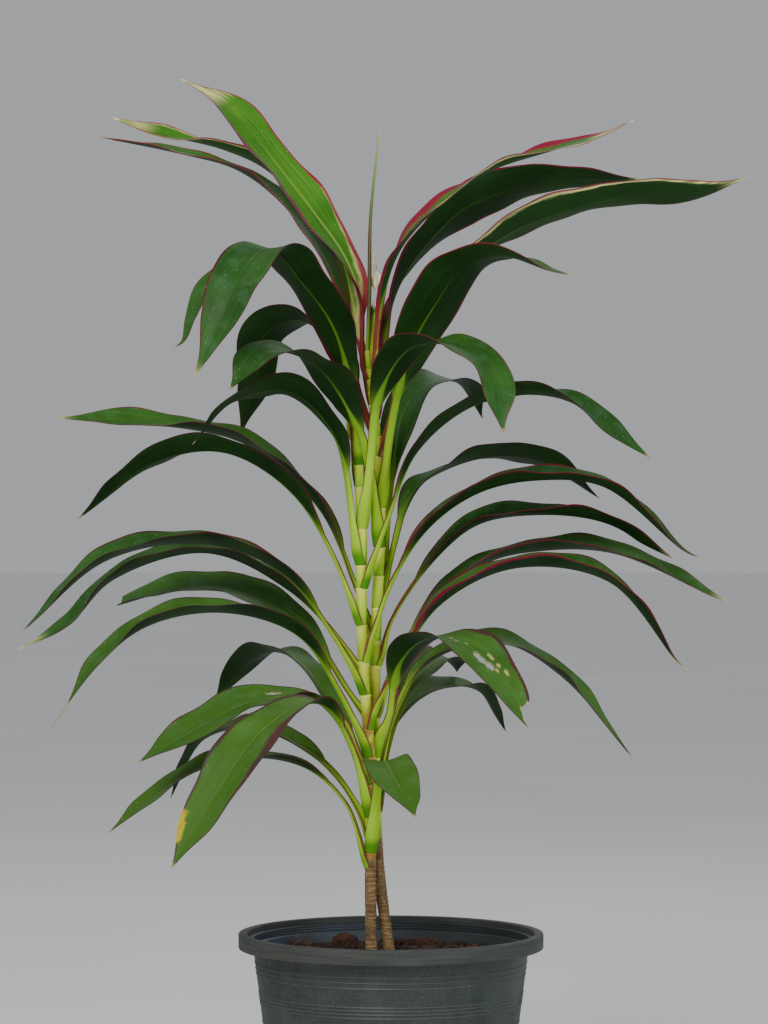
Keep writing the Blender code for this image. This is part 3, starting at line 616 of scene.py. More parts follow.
def leaf_finish():
    """Green lamina with painted sheen on its top and painted shade on its underside, beside its midrib and
    towards the tips of low leaves, yellow green stalk and midrib, red and cream margins, dried tips and small
    harms.
    """
    made, tree, shader = new_material("leaf")
    _, reach, under = field(tree, "blade")
    rib, edge, length = field(tree, "metric")
    wide, red, cream = field(tree, "line")
    youth, chance, lowness = field(tree, "age")
    yellowed, eaten, pale_tip = field(tree, "harm")

    draw = times(tree, chance, 60.0)
    streak = place(tree, streaks, Across=rib, Along=length, Width=1.7, Length=55.0, Chance=draw)["Mask"]
    patch = place(tree, mottle, Scale=24.0, Detail=3.0, Low=0.35, High=0.66)["Mask"]
    tone = plus(tree, times(tree, streak, 0.4), times(tree, patch, 0.6))

    deep = blend_colour(tree, lowness, DEEP_GREEN, LOWER_DEEP)
    top = blend_colour(tree, tone, deep, blend_colour(tree, lowness, LEAF_GREEN, LOWER_GREEN))
    # Painted sheen: blue green patches over the tops of the leaves
    sheen_patches = place(tree, mottle, Scale=85.0, Detail=5.0, Low=0.45, High=0.75)["Mask"]
    top = blend_colour(tree, times(tree, sheen_patches, 0.24), top, PAINTED_SHEEN)
    above = maths(tree, "SUBTRACT", 1.0, under)
    # Painted shade in the groove on each side of the midrib, on the leaf tops
    rib_groove_shade = times(tree, fade(tree, rib, 4.5, 1.2), fade(tree, reach, 0.9, 0.1, 0.15, 0.5))
    top = blend_colour(tree, rib_groove_shade, top, deep)
    # Painted shade: the low leaves darker towards their tips
    tip_shade = times(tree, fade(tree, reach, 0.35, 0.95, 0.0, 0.8), fade(tree, lowness, 0.65, 1.0))
    top = blend_colour(tree, tip_shade, top, deep)
    young_top = blend_colour(tree, tone, FRESH_GREEN, YOUNG_GREEN)
    thread = place(tree, streaks, Across=rib, Along=length, Width=0.7, Length=140.0, Chance=draw)["Mask"]
    young_top = blend_colour(tree, fade(tree, thread, 0.75, 1.0, 0.0, 0.3), young_top, RIB_PALE)
    top = blend_colour(tree, times(tree, youth, 0.85), top, young_top)
    # The underside: its own green with painted shade
    below = blend_colour(tree, tone, UNDERSIDE_SHADE_DEEP, UNDERSIDE_SHADE_GREEN)
    below = blend_colour(tree, times(tree, youth, 0.6), below, UNDERSIDE_SHADE_YOUNG)
    lamina = blend_colour(tree, under, top, below)

    climb = times(tree, plus(tree, reach, 1.0), 0.5)
    stalk = shades(tree, climb, (0.05, SHEATH_GREEN), (0.2, STALK_YELLOW), (0.46, STALK_GREEN),
                   (0.6, RIB_GREEN))
    foot = times(tree, fade(tree, reach, -0.8, -0.93), fade(tree, chance, 0.75, 0.3))
    stalk = blend_colour(tree, fade(tree, streak, 0.4, 1.0, 0.0, 0.4), stalk, SHEATH_GREEN)
    stalk = blend_colour(tree, foot, stalk, FOOT_GREEN)
    crown = times(tree, fade(tree, reach, -0.3, -0.95), times(tree, youth, 0.9))
    stalk = blend_colour(tree, crown, stalk, SHEATH_PALE)
    channel = times(tree, above, fade(tree, reach, -0.5, 0.0, 0.0, 0.3))
    stalk = blend_colour(tree, channel, stalk, LEAF_GREEN)
    rib_width = plus(tree, fade(tree, reach, 0.1, 0.9, 1.4, 0.5), fade(tree, reach, 0.0, 0.16, 3.2, 0.0))
    on_rib = fade(tree, rib, rib_width, times(tree, rib_width, 0.45))
    from_above = times(tree, fade(tree, reach, 0.9, 0.05, 0.15, 0.8), fade(tree, youth, 0.0, 1.0, 0.7, 0.95))
    rib_strength = blend_share(tree, under, from_above, fade(tree, reach, 0.55, 0.02, 0.12, 0.85))
    paler = times(tree, maths(tree, "MAXIMUM", youth, times(tree, lowness, 0.3)), above)
    rib_colour = blend_colour(tree, paler, stalk, RIB_PALE)
    colour = blend_colour(tree, times(tree, on_rib, rib_strength), lamina, rib_colour)
    colour = blend_colour(tree, fade(tree, reach, 0.1, -0.08), colour, stalk)

    broken = fade(tree, streak, 0.1, 0.7, 0.3, 1.0)
    band = place(tree, margin, Distance=edge, Width=plus(tree, wide, cream), Ragged=0.35)["Mask"]
    band = times(tree, band, maths(tree, "GREATER_THAN", cream, 0.2))
    pale_from = maths(tree, "SUBTRACT", 0.985, times(tree, pale_tip, 0.12))
    tip = maths(tree, "DIVIDE", maths(tree, "SUBTRACT", reach, pale_from), 0.08)
    tip = times(tree, fade(tree, tip, 0.0, 1.0), fade(tree, pale_tip, 0.0, 0.1))
    pale = times(tree, maths(tree, "MAXIMUM", band, tip), broken)
    cream_colour = blend_colour(tree, fade(tree, pale_tip, 2.0, 6.0), CREAM, NEW_WHITE)
    colour = blend_colour(tree, pale, colour, cream_colour)

    at_base = fade(tree, reach, 0.3, -0.1, 0.0, 0.45)
    redness = maths(tree, "MAXIMUM", red, at_base)
    line = place(tree, margin, Distance=edge, Width=wide, Ragged=0.3)["Mask"]
    line = times(tree, line, fade(tree, wide, 0.0, 0.5))
    dull = blend_colour(tree, lowness, BURGUNDY, PURPLE_BROWN)
    dull = blend_colour(tree, youth, dull, MAUVE)
    line_colour = blend_colour(tree, redness, dull, CRIMSON)
    colour = blend_colour(tree, times(tree, line, 0.92), colour, line_colour)

    dry = fade(tree, reach, 0.975, 0.995)
    colour = blend_colour(tree, dry, colour, blend_colour(tree, pale_tip, DRIED, CREAM))
    spots = place(tree, specks, Scale=340.0, Size=0.22, Share=0.12)["Mask"]
    on_top = times(tree, spots, above)
    colour = blend_colour(tree, times(tree, on_top, 0.65), colour, LIME_WHITE)
    blotch = place(tree, mottle, Scale=150.0, Detail=3.0, Low=0.35, High=0.65)["Mask"]
    patched = plus(tree, yellowed, times(tree, blotch, 0.35))
    sallow = blend_colour(tree, fade(tree, streak, 0.45, 0.9), YELLOWED_LEAF, ORANGED_LEAF)
    colour = blend_colour(tree, fade(tree, patched, 0.4, 0.85), colour, sallow)
    colour = blend_colour(tree, eaten, colour, SCRAPED_TAN)
    tree.links.new(colour, shader.inputs["Base Color"])

    rough = plus(tree, 0.46, times(tree, tone, 0.08))
    rough = plus(tree, rough, times(tree, maths(tree, "MAXIMUM", under, dry), 0.12))
    tree.links.new(rough, shader.inputs["Roughness"])
    shader.inputs["Specular IOR Level"].default_value = 0.14
    ridges = place(tree, side_veins, Across=rib, Along=length, Spacing=2.4)["Height"]
    relief = plus(tree, times(tree, ridges, 0.25), streak)
    bump(tree, shader, relief, 0.16, 0.00035)
    return made


def rolled_finish():
    """A leaf still rolled up: green and purple brown below, cream at the tip, streaked along its length."""
    made, tree, shader = new_material("rolled_leaf")
    turn, reach, _ = field(tree, "blade")
    _, edge, length = field(tree, "metric")
    around = times(tree, turn, 9.0)
    streak = place(tree, streaks, Across=around, Along=length, Width=1.0, Length=60.0)["Mask"]
    colour = shades(tree, reach, (0.0, STALK_GREEN), (0.18, SPEAR_BROWN), (0.5, SPEAR_BROWN),
                    (0.7, RIB_GREEN), (0.88, STALK_GREEN), (1.0, CREAM))
    colour = blend_colour(tree, times(tree, streak, 0.35), colour, SPEAR_GREEN)
    line = place(tree, margin, Distance=edge, Width=0.9, Ragged=0.3)["Mask"]
    colour = blend_colour(tree, times(tree, line, 0.8), colour, CRIMSON)
    tree.links.new(colour, shader.inputs["Base Color"])
    shader.inputs["Roughness"].default_value = 0.45
    bump(tree, shader, streak, 0.3, 0.0003)
    return made


def cane_finish():
    """Brown ringed bark low down, and above it green internodes that are pale over each leaf scar."""
    made, tree, shader = new_material("cane")
    internode, bark, girth = field(tree, "cane")
    spot = node(tree, "ShaderNodeTexCoord").outputs["Object"]
    height = node(tree, "ShaderNodeSeparateXYZ", {"Vector": spot}).outputs["Z"]
    around = times(tree, girth, 30.0)
    along = times(tree, height, 1000.0)
    grain = place(tree, streaks, Across=around, Along=along, Width=1.2, Length=7.0)["Mask"]
    fibre = place(tree, streaks, Across=around, Along=along, Width=0.9, Length=40.0, Chance=5.0)["Mask"]
    patch = place(tree, mottle, Scale=95.0, Detail=4.0, Low=0.38, High=0.68)["Mask"]
    stain = place(tree, mottle, Scale=55.0, Detail=3.0, Low=0.42, High=0.6)["Mask"]
    chalk = place(tree, mottle, Scale=210.0, Detail=4.0, Low=0.5, High=0.68)["Mask"]

    green = shades(tree, internode, (0.0, SCAR_BROWN), (0.08, STALK_GREEN), (0.4, STALK_YELLOW),
                   (0.8, SHEATH_PALE), (1.0, RING_PALE))
    green = blend_colour(tree, times(tree, fibre, 0.35), green, STALK_YELLOW)
    tan = times(tree, stain, fade(tree, height, 0.5, 0.34, 0.06, 0.95))
    green = blend_colour(tree, tan, green, TAN)
    brown = shades(tree, internode, (0.0, SCAR_DARK), (0.05, SCAR_DARK), (0.14, BARK_BROWN),
                   (0.75, BARK_PALE), (0.95, BARK_CHALK), (1.0, BARK_BROWN))
    fibrous = blend_colour(tree, fibre, BARK_BROWN, BARK_PALE)
    brown = blend_colour(tree, fade(tree, stain, 0.2, 0.8, 0.25, 0.85), brown, fibrous)
    brown = blend_colour(tree, times(tree, patch, 0.65), brown, BARK_DARK)
    brown = blend_colour(tree, times(tree, grain, 0.3), brown, BARK_PALE)
    brown = blend_colour(tree, times(tree, chalk, 0.4), brown, BARK_CHALK)
    colour = blend_colour(tree, bark, green, brown)
    tree.links.new(colour, shader.inputs["Base Color"])
    tree.links.new(fade(tree, bark, 0.0, 1.0, 0.42, 0.85), shader.inputs["Roughness"])
    shader.inputs["Specular IOR Level"].default_value = 0.2
    relief = times(tree, plus(tree, grain, patch), fade(tree, bark, 0.0, 1.0, 0.25, 1.0))
    bump(tree, shader, relief, 0.6, 0.0006)
    return made


def pot_finish():
    """Dark slate plastic, dusty and lime stained, with rubbed ribs, a paler weathered rim, painted shadow
    under the rim and painted shadow lines in the grooves inside.
    """
    made, tree, shader = new_material("pot")
    ridge, rim, inside = field(tree, "wear")
    spot = node(tree, "ShaderNodeTexCoord").outputs["Object"]
    x, y, z = node(tree, "ShaderNodeSeparateXYZ", {"Vector": spot}).outputs
    bearing = maths(tree, "ARCTAN2", y, x)
    height = times(tree, z, 1000.0)
    band = place(tree, streaks, Across=height, Along=bearing, Width=1.3, Length=0.5)["Mask"]
    cloud = place(tree, mottle, Scale=16.0, Detail=6.0, Low=0.38, High=0.62)["Mask"]
    blotch = place(tree, mottle, Scale=45.0, Detail=5.0, Low=0.42, High=0.66)["Mask"]
    grit = place(tree, mottle, Scale=480.0, Detail=3.0, Low=0.42, High=0.68)["Mask"]
    lime = place(tree, specks, Scale=300.0, Size=0.2, Share=0.03)["Mask"]

    tinge = place(tree, mottle, Scale=7.0, Detail=3.0, Low=0.4, High=0.62)["Mask"]
    slate = blend_colour(tree, tinge, SLATE_OLIVE, SLATE)
    # Painted shadow: the wall darker towards its top, under the rim
    shaded = fade(tree, z, (WALL_TOP - 22) * MM, WALL_TOP * MM, 0.0, 0.6)
    colour = blend_colour(tree, maths(tree, "MAXIMUM", cloud, shaded), slate, SLATE_DARK)
    colour = blend_colour(tree, times(tree, blotch, 0.5), colour, SLATE_PALE)
    colour = blend_colour(tree, times(tree, band, 0.35), colour, SLATE_PALE)
    colour = blend_colour(tree, times(tree, grit, 0.2), colour, DUST)
    colour = blend_colour(tree, times(tree, ridge, 0.35), colour, DUST)
    rubbed = place(tree, streaks, Across=height, Along=bearing, Width=2.6, Length=0.4, Chance=9.0)["Mask"]
    weathered = blend_colour(tree, rubbed, RIM_GREY, RIM_DUST)
    weathered = blend_colour(tree, times(tree, grit, 0.22), weathered, SLATE_DARK)
    colour = blend_colour(tree, times(tree, rim, 0.9), colour, weathered)
    # The inner wall: paler in patches and towards the left side
    inner_paleness = plus(tree, times(tree, cloud, 0.45), fade(tree, x, 0.05, -0.08, 0.0, 0.55))
    inner_wall = blend_colour(tree, inner_paleness, INNER_DARK, INNER_BLUE)
    # Painted shadow: dark lines along the grooves of the inner wall
    between = maths(tree, "PINGPONG", plus(tree, height, GROOVE_PHASE), GROOVE_APART / 2)
    grooved = maths(tree, "COMPARE", height, GROOVES_MIDDLE, GROOVES_HALF)
    groove = times(tree, fade(tree, between, 0.7, 0.35), grooved)
    inner_wall = blend_colour(tree, times(tree, groove, 0.9), inner_wall, GROOVE_SHADOW)
    colour = blend_colour(tree, times(tree, inside, 0.9), colour, inner_wall)
    colour = blend_colour(tree, times(tree, lime, 0.4), colour, LIME_WHITE)
    tree.links.new(colour, shader.inputs["Base Color"])
    rough = plus(tree, 0.5, times(tree, cloud, 0.16))
    rough = plus(tree, rough, times(tree, rim, 0.12))
    tree.links.new(rough, shader.inputs["Roughness"])
    relief = plus(tree, times(tree, band, 0.6), times(tree, grit, 0.5))
    bump(tree, shader, relief, 0.35, 0.0003)
    return made


def coir_finish(name, dark, light, red, scale):
    """Rough fibrous coir or husk, in two browns with a redder one between."""
    made, tree, shader = new_material(name)
    patch = place(tree, mottle, Scale=scale, Detail=6.0, Low=0.36, High=0.66)["Mask"]
    fine = place(tree, mottle, Scale=scale * 5, Detail=4.0, Low=0.4, High=0.7)["Mask"]
    colour = blend_colour(tree, patch, dark, red)
    colour = blend_colour(tree, times(tree, fine, 0.6), colour, light)
    tree.links.new(colour, shader.inputs["Base Color"])
    shader.inputs["Roughness"].default_value = 0.92
    bump(tree, shader, plus(tree, patch, fine), 0.9, 0.001)
    return made


def floor_finish():
    """A pale floor, very faintly clouded."""
    made, tree, shader = new_material("studio_floor")
    cloud = place(tree, mottle, Scale=1.3, Detail=2.0, Low=0.3, High=0.7)["Mask"]
    tree.links.new(blend_colour(tree, cloud, FLOOR_LOW, FLOOR_HIGH), shader.inputs["Base Color"])
    shader.inputs["Roughness"].default_value = 0.7
    return made


# Shapes


def smooth_path(points, per_span=24):
    """A centripetal Catmull-Rom curve through the points, read at per_span places between each two."""
    points = [np.array(p, float) for p in points]
    points = [2 * points[0] - points[1], *points, 2 * points[-1] - points[-2]]
    path = []
    for before, start, end, after in zip(points, points[1:], points[2:], points[3:]):
        gaps = [np.linalg.norm(b - a) ** 0.5 for a, b in ((before, start), (start, end), (end, after))]
        leave = ((start - before) / gaps[0] - (end - before) / (gaps[0] + gaps[1])) * gaps[1] + (end - start)
        arrive = ((after - end) / gaps[2] - (after - start) / (gaps[1] + gaps[2])) * gaps[1] + (end - start)
        for step in range(per_span):
            t = step / per_span
            path.append(
                (2 * t**3 - 3 * t**2 + 1) * start
                + (t**3 - 2 * t**2 + t) * leave
                + (3 * t**2 - 2 * t**3) * end
                + (t**3 - t**2) * arrive
            )
    path.append(points[-2])
    return np.array(path)


def lengths_along(path):
    """How far along a path each of its points lies."""
    return np.concatenate([[0.0], np.cumsum(np.linalg.norm(np.diff(path, axis=0), axis=1))])


def read_path(path, places):
    """Points and directions of a path at the given lengths along it."""
    along = lengths_along(path)
    points = np.column_stack([np.interp(places, along, path[:, i]) for i in range(3)])
    slopes = np.gradient(path, along, axis=0)
    ways = np.column_stack([np.interp(places, along, slopes[:, i]) for i in range(3)])
    return points, ways / np.linalg.norm(ways, axis=1)[:, None]


def blend(a, b, t):
    """From a to b as t goes from 0 to 1, with a soft start and end."""
    t = min(max(t, 0.0), 1.0)
    return a + (b - a) * t * t * (3 - 2 * t)


def select_only(made):
    """Selects one piece and makes it the active one."""
    bpy.ops.object.select_all(action="DESELECT")
    made.select_set(True)
    bpy.context.view_layer.objects.active = made


def hold(made, name, values):
    """Gives a piece three values at each of its points, for its finish to read."""
    kept = made.data.attributes.new(name, "FLOAT_VECTOR", "POINT")
    kept.data.foreach_set("vector", np.asarray(values, dtype=np.float32).ravel())


def finish_piece(made, look, slot, *nodes):
    """Smooth, in its finish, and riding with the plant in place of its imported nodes."""
    made.data.materials.clear()
    made.data.materials.append(look)
    select_only(made)
    bpy.ops.object.shade_smooth_by_angle(angle=math.radians(SMOOTH_UNDER))
    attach(made, "root")
    if nodes:
        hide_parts(*nodes)


def ring_walk(name, stations, sides):
    """A closed tube: a ring extruded from station to station, moved and scaled to each, both ends filled."""
    (spot, radius), *rest = stations
    bpy.ops.object.select_all(action="DESELECT")
    bpy.ops.mesh.primitive_circle_add(vertices=sides, radius=radius * MM, location=Vector(spot) * MM)
    made = bpy.context.object
    made.name = name
    bpy.ops.object.transform_apply(location=True)
    bpy.ops.object.mode_set(mode="EDIT")
    bpy.ops.mesh.select_all(action="SELECT")
    for next_spot, next_radius in rest:
        step = (Vector(next_spot) - Vector(spot)) * MM
        bpy.ops.mesh.extrude_region_move(TRANSFORM_OT_translate={"value": step})
        size = next_radius / radius
        bpy.ops.transform.resize(value=(size, size, 1.0), center_override=Vector(next_spot) * MM)
        spot, radius = next_spot, next_radius
    bpy.ops.mesh.edge_face_add()
    bpy.ops.mesh.select_all(action="DESELECT")
    bpy.ops.mesh.select_non_manifold()
    bpy.ops.mesh.edge_face_add()
    bpy.ops.mesh.select_all(action="SELECT")
    bpy.ops.mesh.normals_make_consistent(inside=False)
    bpy.ops.object.mode_set(mode="OBJECT")
    return made


def points_of(made):
    """The points of a piece, in millimetres."""
    points = np.empty(len(made.data.vertices) * 3, dtype=np.float32)
    made.data.vertices.foreach_get("co", points)
    return points.reshape(-1, 3).astype(float) / MM


def set_points(made, points):
    """Moves the points of a piece to new places, in millimetres."""
    made.data.vertices.foreach_set("co", (np.asarray(points) * MM).astype(np.float32).ravel())
    made.data.update()


def rough_at(point, size, seed=0.0):
    """Smooth noise from -1 to 1 at a point, with bumps of about the given size."""
    return noise.noise(Vector(point) / size + Vector((seed, 2 * seed, -seed)))


# Canes


def cane_radius(route_top, height):
    """The cane keeps its width up to the crown, and tapers through it."""
    share = min(max((route_top - height) / CROWN_LENGTH, 0.0), 1.0)
    return CANE_TIP_RADIUS + (CANE_RADIUS - CANE_TIP_RADIUS) * share


def cane_axis(cane, height):
    """The middle of a cane and its direction, at a height."""
    path = smooth_path(CANE_ROUTES[cane], 12)
    along = lengths_along(path)
    spot = np.interp(height, path[:, 2], along)
    points, ways = read_path(path, [spot])
    return points[0], ways[0]


def cane_rings(name, rng):
    """Heights of a cane's rings: the leaf scars of its bark, and the root of each leaf above."""
    nodes = sorted(leaf[2] for leaf in LEAVES if leaf[1] == name)
    rings = list(nodes)
    bare = nodes[0] - SCAR_SPACING
    while bare > CANE_ROUTES[name][0][2]:
        rings.append(bare)
        bare -= SCAR_SPACING * rng.uniform(0.6, 1.25)
    return sorted(rings)


def ring_relief(height, rings, bark):
    """How far the cane stands out at a height: a lip under each scar and a narrow groove over it."""
    relief = 0.0
    for ring in rings:
        away = height - ring
        if -6 < away < 6:
            strength = 1 - bark * (0.62 + 0.45 * rough_at((0.0, 0.0, ring), 3.0))
            relief += RING_LIP * strength * math.exp(-(((away + 0.9) / 0.9) ** 2))
            relief -= RING_GROOVE * strength * math.exp(-(((away - 0.5) / 0.6) ** 2))
    return relief


def build_cane(name, look):
    """A ringed cane, swollen a little at each leaf scar and uneven where its bark is old."""
    rng = random.Random(SEED + len(name))
    route = CANE_ROUTES[name]
    top = float(route[-1][2])
    rings = cane_rings(name, rng)
    heights = [*np.arange(route[0][2], BARK_TOP[name], BARK_STEP), *np.arange(BARK_TOP[name], top, CANE_STEP)]
    path = smooth_path(route, 12)
    centres = [np.array([np.interp(z, path[:, 2], path[:, i]) for i in range(3)]) for z in heights]
    stations = []
    for z, centre in zip(heights, centres):
        bark = blend(1.0, 0.0, (z - BARK_TOP[name]) / 8)
        radius = cane_radius(top, z)
        relief = ring_relief(z, rings, bark) * radius / CANE_RADIUS
        stations.append((centre, radius * (1 - 0.03 * (1 - bark)) + relief))
    made = ring_walk(name.replace("cane_", "") + "_cane", stations, CANE_SIDES)
    points = points_of(made)
    values = []
    for i, point in enumerate(points):
        z = point[2]
        centre = np.array([np.interp(z, path[:, 2], path[:, j]) for j in range(3)])
        bearing = math.atan2(point[1] - centre[1], point[0] - centre[0])
        bark = blend(1.0, 0.0, (z - BARK_TOP[name] + 6 * rough_at(point, 6.0)) / 8)
        swell = 0.16 * rough_at(point, 4.0, 3.0) + 0.2 * bark * rough_at(point, 1.6, 5.0)
        out = np.array((math.cos(bearing), math.sin(bearing), 0.0))
        points[i] = point + out * swell + np.array((0, 0, 0.7 * math.sin(bearing + z / 9)))
        below = [ring for ring in rings if ring <= z]
        above = [ring for ring in rings if ring > z]
        low = below[-1] if below else z - 1
        high = above[0] if above else top + 1
        values.append(((z - low) / (high - low), bark, bearing / (2 * math.pi)))
    set_points(made, points)
    hold(made, "cane", values)
    finish_piece(made, look, "cane", name)


# Leaves


def blade_share(t):
    """How much of its full width the blade has, from its base at 0 to its tip at 1."""
    start, end = BLADE_OUTLINE
    peak = start / (start + end)
    tail = blend(1.0, TAIL_WIDTH, (t - TAIL_START) / (1 - TAIL_START))
    return tail * t**start * (1 - t) ** end / (peak**start * (1 - peak) ** end)


def leaf_width(along, rise, hug, t, width):
    """Half a leaf's width, and half the angle in degrees it is curled through, at a place along it."""
    leaving = (along - rise) / PETIOLE_START
    if along <= rise:
        curl = blend(SHEATH_WRAP, SHEATH_OPENED, along / rise)
    else:
        curl = blend(SHEATH_OPENED, PETIOLE_CURL, leaving)
    bend = blend(hug, PETIOLE_HALF_WIDTH / math.radians(PETIOLE_CURL), leaving)
    if t == 0:
        return bend * math.radians(curl), curl
    half = PETIOLE_HALF_WIDTH * (1 - t) + (width - PETIOLE_HALF_WIDTH) / 2 * blade_share(t)
    return max(half, TIP_HALF_WIDTH), blend(curl, BLADE_CURL, t / OPENING_SHARE)


def across_leaf(share, bend, curl, folded):
    """How far across and how far up from its midrib a leaf's point lies, its halves folded up at the keel."""
    across = bend * math.sin(share * curl)
    lift = bend * (1 - math.cos(share * curl))
    raised = (math.hypot(across, KEEL_ROUND) - KEEL_ROUND) * math.sin(folded)
    inward = math.copysign(lift, share) * math.sin(folded)
    return across * math.cos(folded) - inward, lift * math.cos(folded) + raised


def leaf_sections(leaf, stations, across):
    """The leaf as rows of points across its middle surface, with what its finish reads at each point."""
    name, cane, ring, width, petiole, turns, fold, through = leaf
    foot, _ = cane_axis(cane, ring + GAP)
    shoulder, _ = cane_axis(cane, ring + SHEATH_RISE)
    beside, _ = cane_axis(cane, through[0][2])
    out = np.array((through[0][0] - beside[0], through[0][1] - beside[1], 0.0))
    out /= np.linalg.norm(out)
    radius = cane_radius(CANE_ROUTES[cane][-1][2], ring)
    hug = (radius + GAP + SHEATH_THICK / 2) / math.cos(math.radians(SHEATH_WRAP) / (COARSE_ACROSS - 1))
    snug = radius + GAP + FOOT_WALL / 2
    foot = foot + hug * out
    shoulder = shoulder + (hug + SHEATH_LEAN) * out
    path = smooth_path([foot, shoulder, *through], 12)
    total = lengths_along(path)[-1]
    rise = np.linalg.norm(shoulder - foot)
    places = [*np.linspace(0, rise, 6)[:-1], *np.linspace(rise, total, stations - 5)]
    side = np.array((out[1], -out[0], 0.0))
    toward_viewer = 1 if through[-1][0] > beside[0] else -1
    phase = random.Random(SEED + ring).uniform(0, 2 * math.pi)
    wave = WAVE + YOUNG_WAVE * LOOKS.get(name, PLAIN)[0]
    rows, blade, metric = [], [], []
    for along, point, way in zip(places, *read_path(path, places)):
        side = np.array((side[0], side[1], 0.0))
        side = side - way * np.dot(side, way)
        side /= np.linalg.norm(side)
        inward = np.cross(side, way)
        t = min(LENGTH_SHARES.get(name, 1.0) * max(along - petiole, 0.0) / (total - petiole), 1.0)
        turn = np.interp(t, np.linspace(0, 1, len(turns)), turns) * min(t / TURNING_SHARE, 1.0)
        turn = math.radians(turn) * toward_viewer
        face = inward * math.cos(turn) + side * math.sin(turn)
        edge = side * math.cos(turn) - inward * math.sin(turn)
        half, curl = leaf_width(along, rise, hug, t, width)
        curl = math.radians(curl)
        drawn_in = blend(hug - snug, 0.0, along / rise)
        bend = half / curl - drawn_in
        folded = math.radians(fold * np.interp(t, *zip(*FOLD_SHARES)))
        reach = t if t > 0 else min(along / petiole, 1.0) - 1.0
        sunk = RIB_GROOVE * blend(1.0, 0.25, t) * min(t * 6, 1.0)
        row = []
        for j in range(across):
            share = 2 * j / (across - 1) - 1
            sway = wave * share**2 * blade_share(t) * math.sin(WAVES * 2 * math.pi * t + phase + share)
            ruffle = RUFFLE * share**4 * blade_share(t) * math.sin(along / 7 + phase + 2.4 * share)
            groove = sunk * math.exp(-((share * half / RIB_GROOVE_WIDTH) ** 2))
            aside, lift = across_leaf(share, bend, curl, folded)
            row.append(point - out * drawn_in + edge * aside + face * (lift + sway + ruffle - groove))
            blade.append((share, reach, 0.0))
            metric.append((abs(share) * half, (1 - abs(share)) * half, along))
        rows.append(row)
    return rows, blade, metric


def lay_sheet(name, rows):
    """A grid laid through rows of points, from the foot of the leaf to its tip."""
    bpy.ops.object.select_all(action="DESELECT")
    bpy.ops.mesh.primitive_grid_add(x_subdivisions=len(rows[0]) - 1, y_subdivisions=len(rows) - 1, size=1.0)
    made = bpy.context.object
    made.name = name
    set_points(made, np.array(rows).reshape(-1, 3))
    return made


def give_wall(made, walls, gone=()):
    """Gives a sheet its wall, less what was eaten from it, and marks the points of its underside."""
    greatest = max(walls)
    thick = made.vertex_groups.new(name="thick")
    for i, wall in enumerate(walls):
        thick.add([i], wall / greatest, "REPLACE")
    if gone:
        bite(made, gone)
    count = len(made.data.vertices)
    normals = np.array([vertex.normal for vertex in made.data.vertices])
    solid = made.modifiers.new("wall", "SOLIDIFY")
    solid.thickness = greatest * MM
    solid.offset = 0.0
    solid.vertex_group = thick.name
    solid.thickness_vertex_group = 0.0
    select_only(made)
    bpy.ops.object.modifier_apply(modifier=solid.name)
    points = points_of(made)
    toward = np.einsum("ij,ij->i", points[:count] - points[count:], normals)
    kept = made.data.attributes["blade"].data
    values = np.empty(len(points) * 3, dtype=np.float32)
    kept.foreach_get("vector", values)
    values[2::3] = np.concatenate([toward < 0, toward >= 0])
    kept.foreach_set("vector", values)


def outside(marks, reach, share, half, total):
    """How far a point of a leaf lies outside the nearest ragged mark, in mm, and less than 0 inside it."""
    nearest = total
    for i, (at_reach, at_share, long, wide) in enumerate(marks):
        along = (reach - at_reach) * total / long
        across = (share - at_share) * half / wide
        ragged = 1 + 0.32 * rough_at((along, across, 7.0 * i), 0.55)
        nearest = min(nearest, (math.hypot(along, across) * ragged - 1) * wide)
    return nearest


def bite(made, gone):
    """Takes the eaten points out of a sheet, and what no longer hangs from its foot."""
    select_only(made)
    bpy.ops.object.mode_set(mode="EDIT")
    bpy.ops.mesh.select_all(action="DESELECT")
    bpy.ops.object.mode_set(mode="OBJECT")
    for i in gone:
        made.data.vertices[i].select = True
    bpy.ops.object.mode_set(mode="EDIT")
    bpy.ops.mesh.delete(type="VERT")
    bpy.ops.object.mode_set(mode="OBJECT")
    made.data.vertices[0].select = True
    bpy.ops.object.mode_set(mode="EDIT")
    bpy.ops.mesh.select_linked()
    bpy.ops.mesh.select_all(action="INVERT")
    bpy.ops.mesh.delete(type="VERT")
    bpy.ops.mesh.select_all(action="SELECT")
    bpy.ops.mesh.delete_loose()
    bpy.ops.object.mode_set(mode="OBJECT")


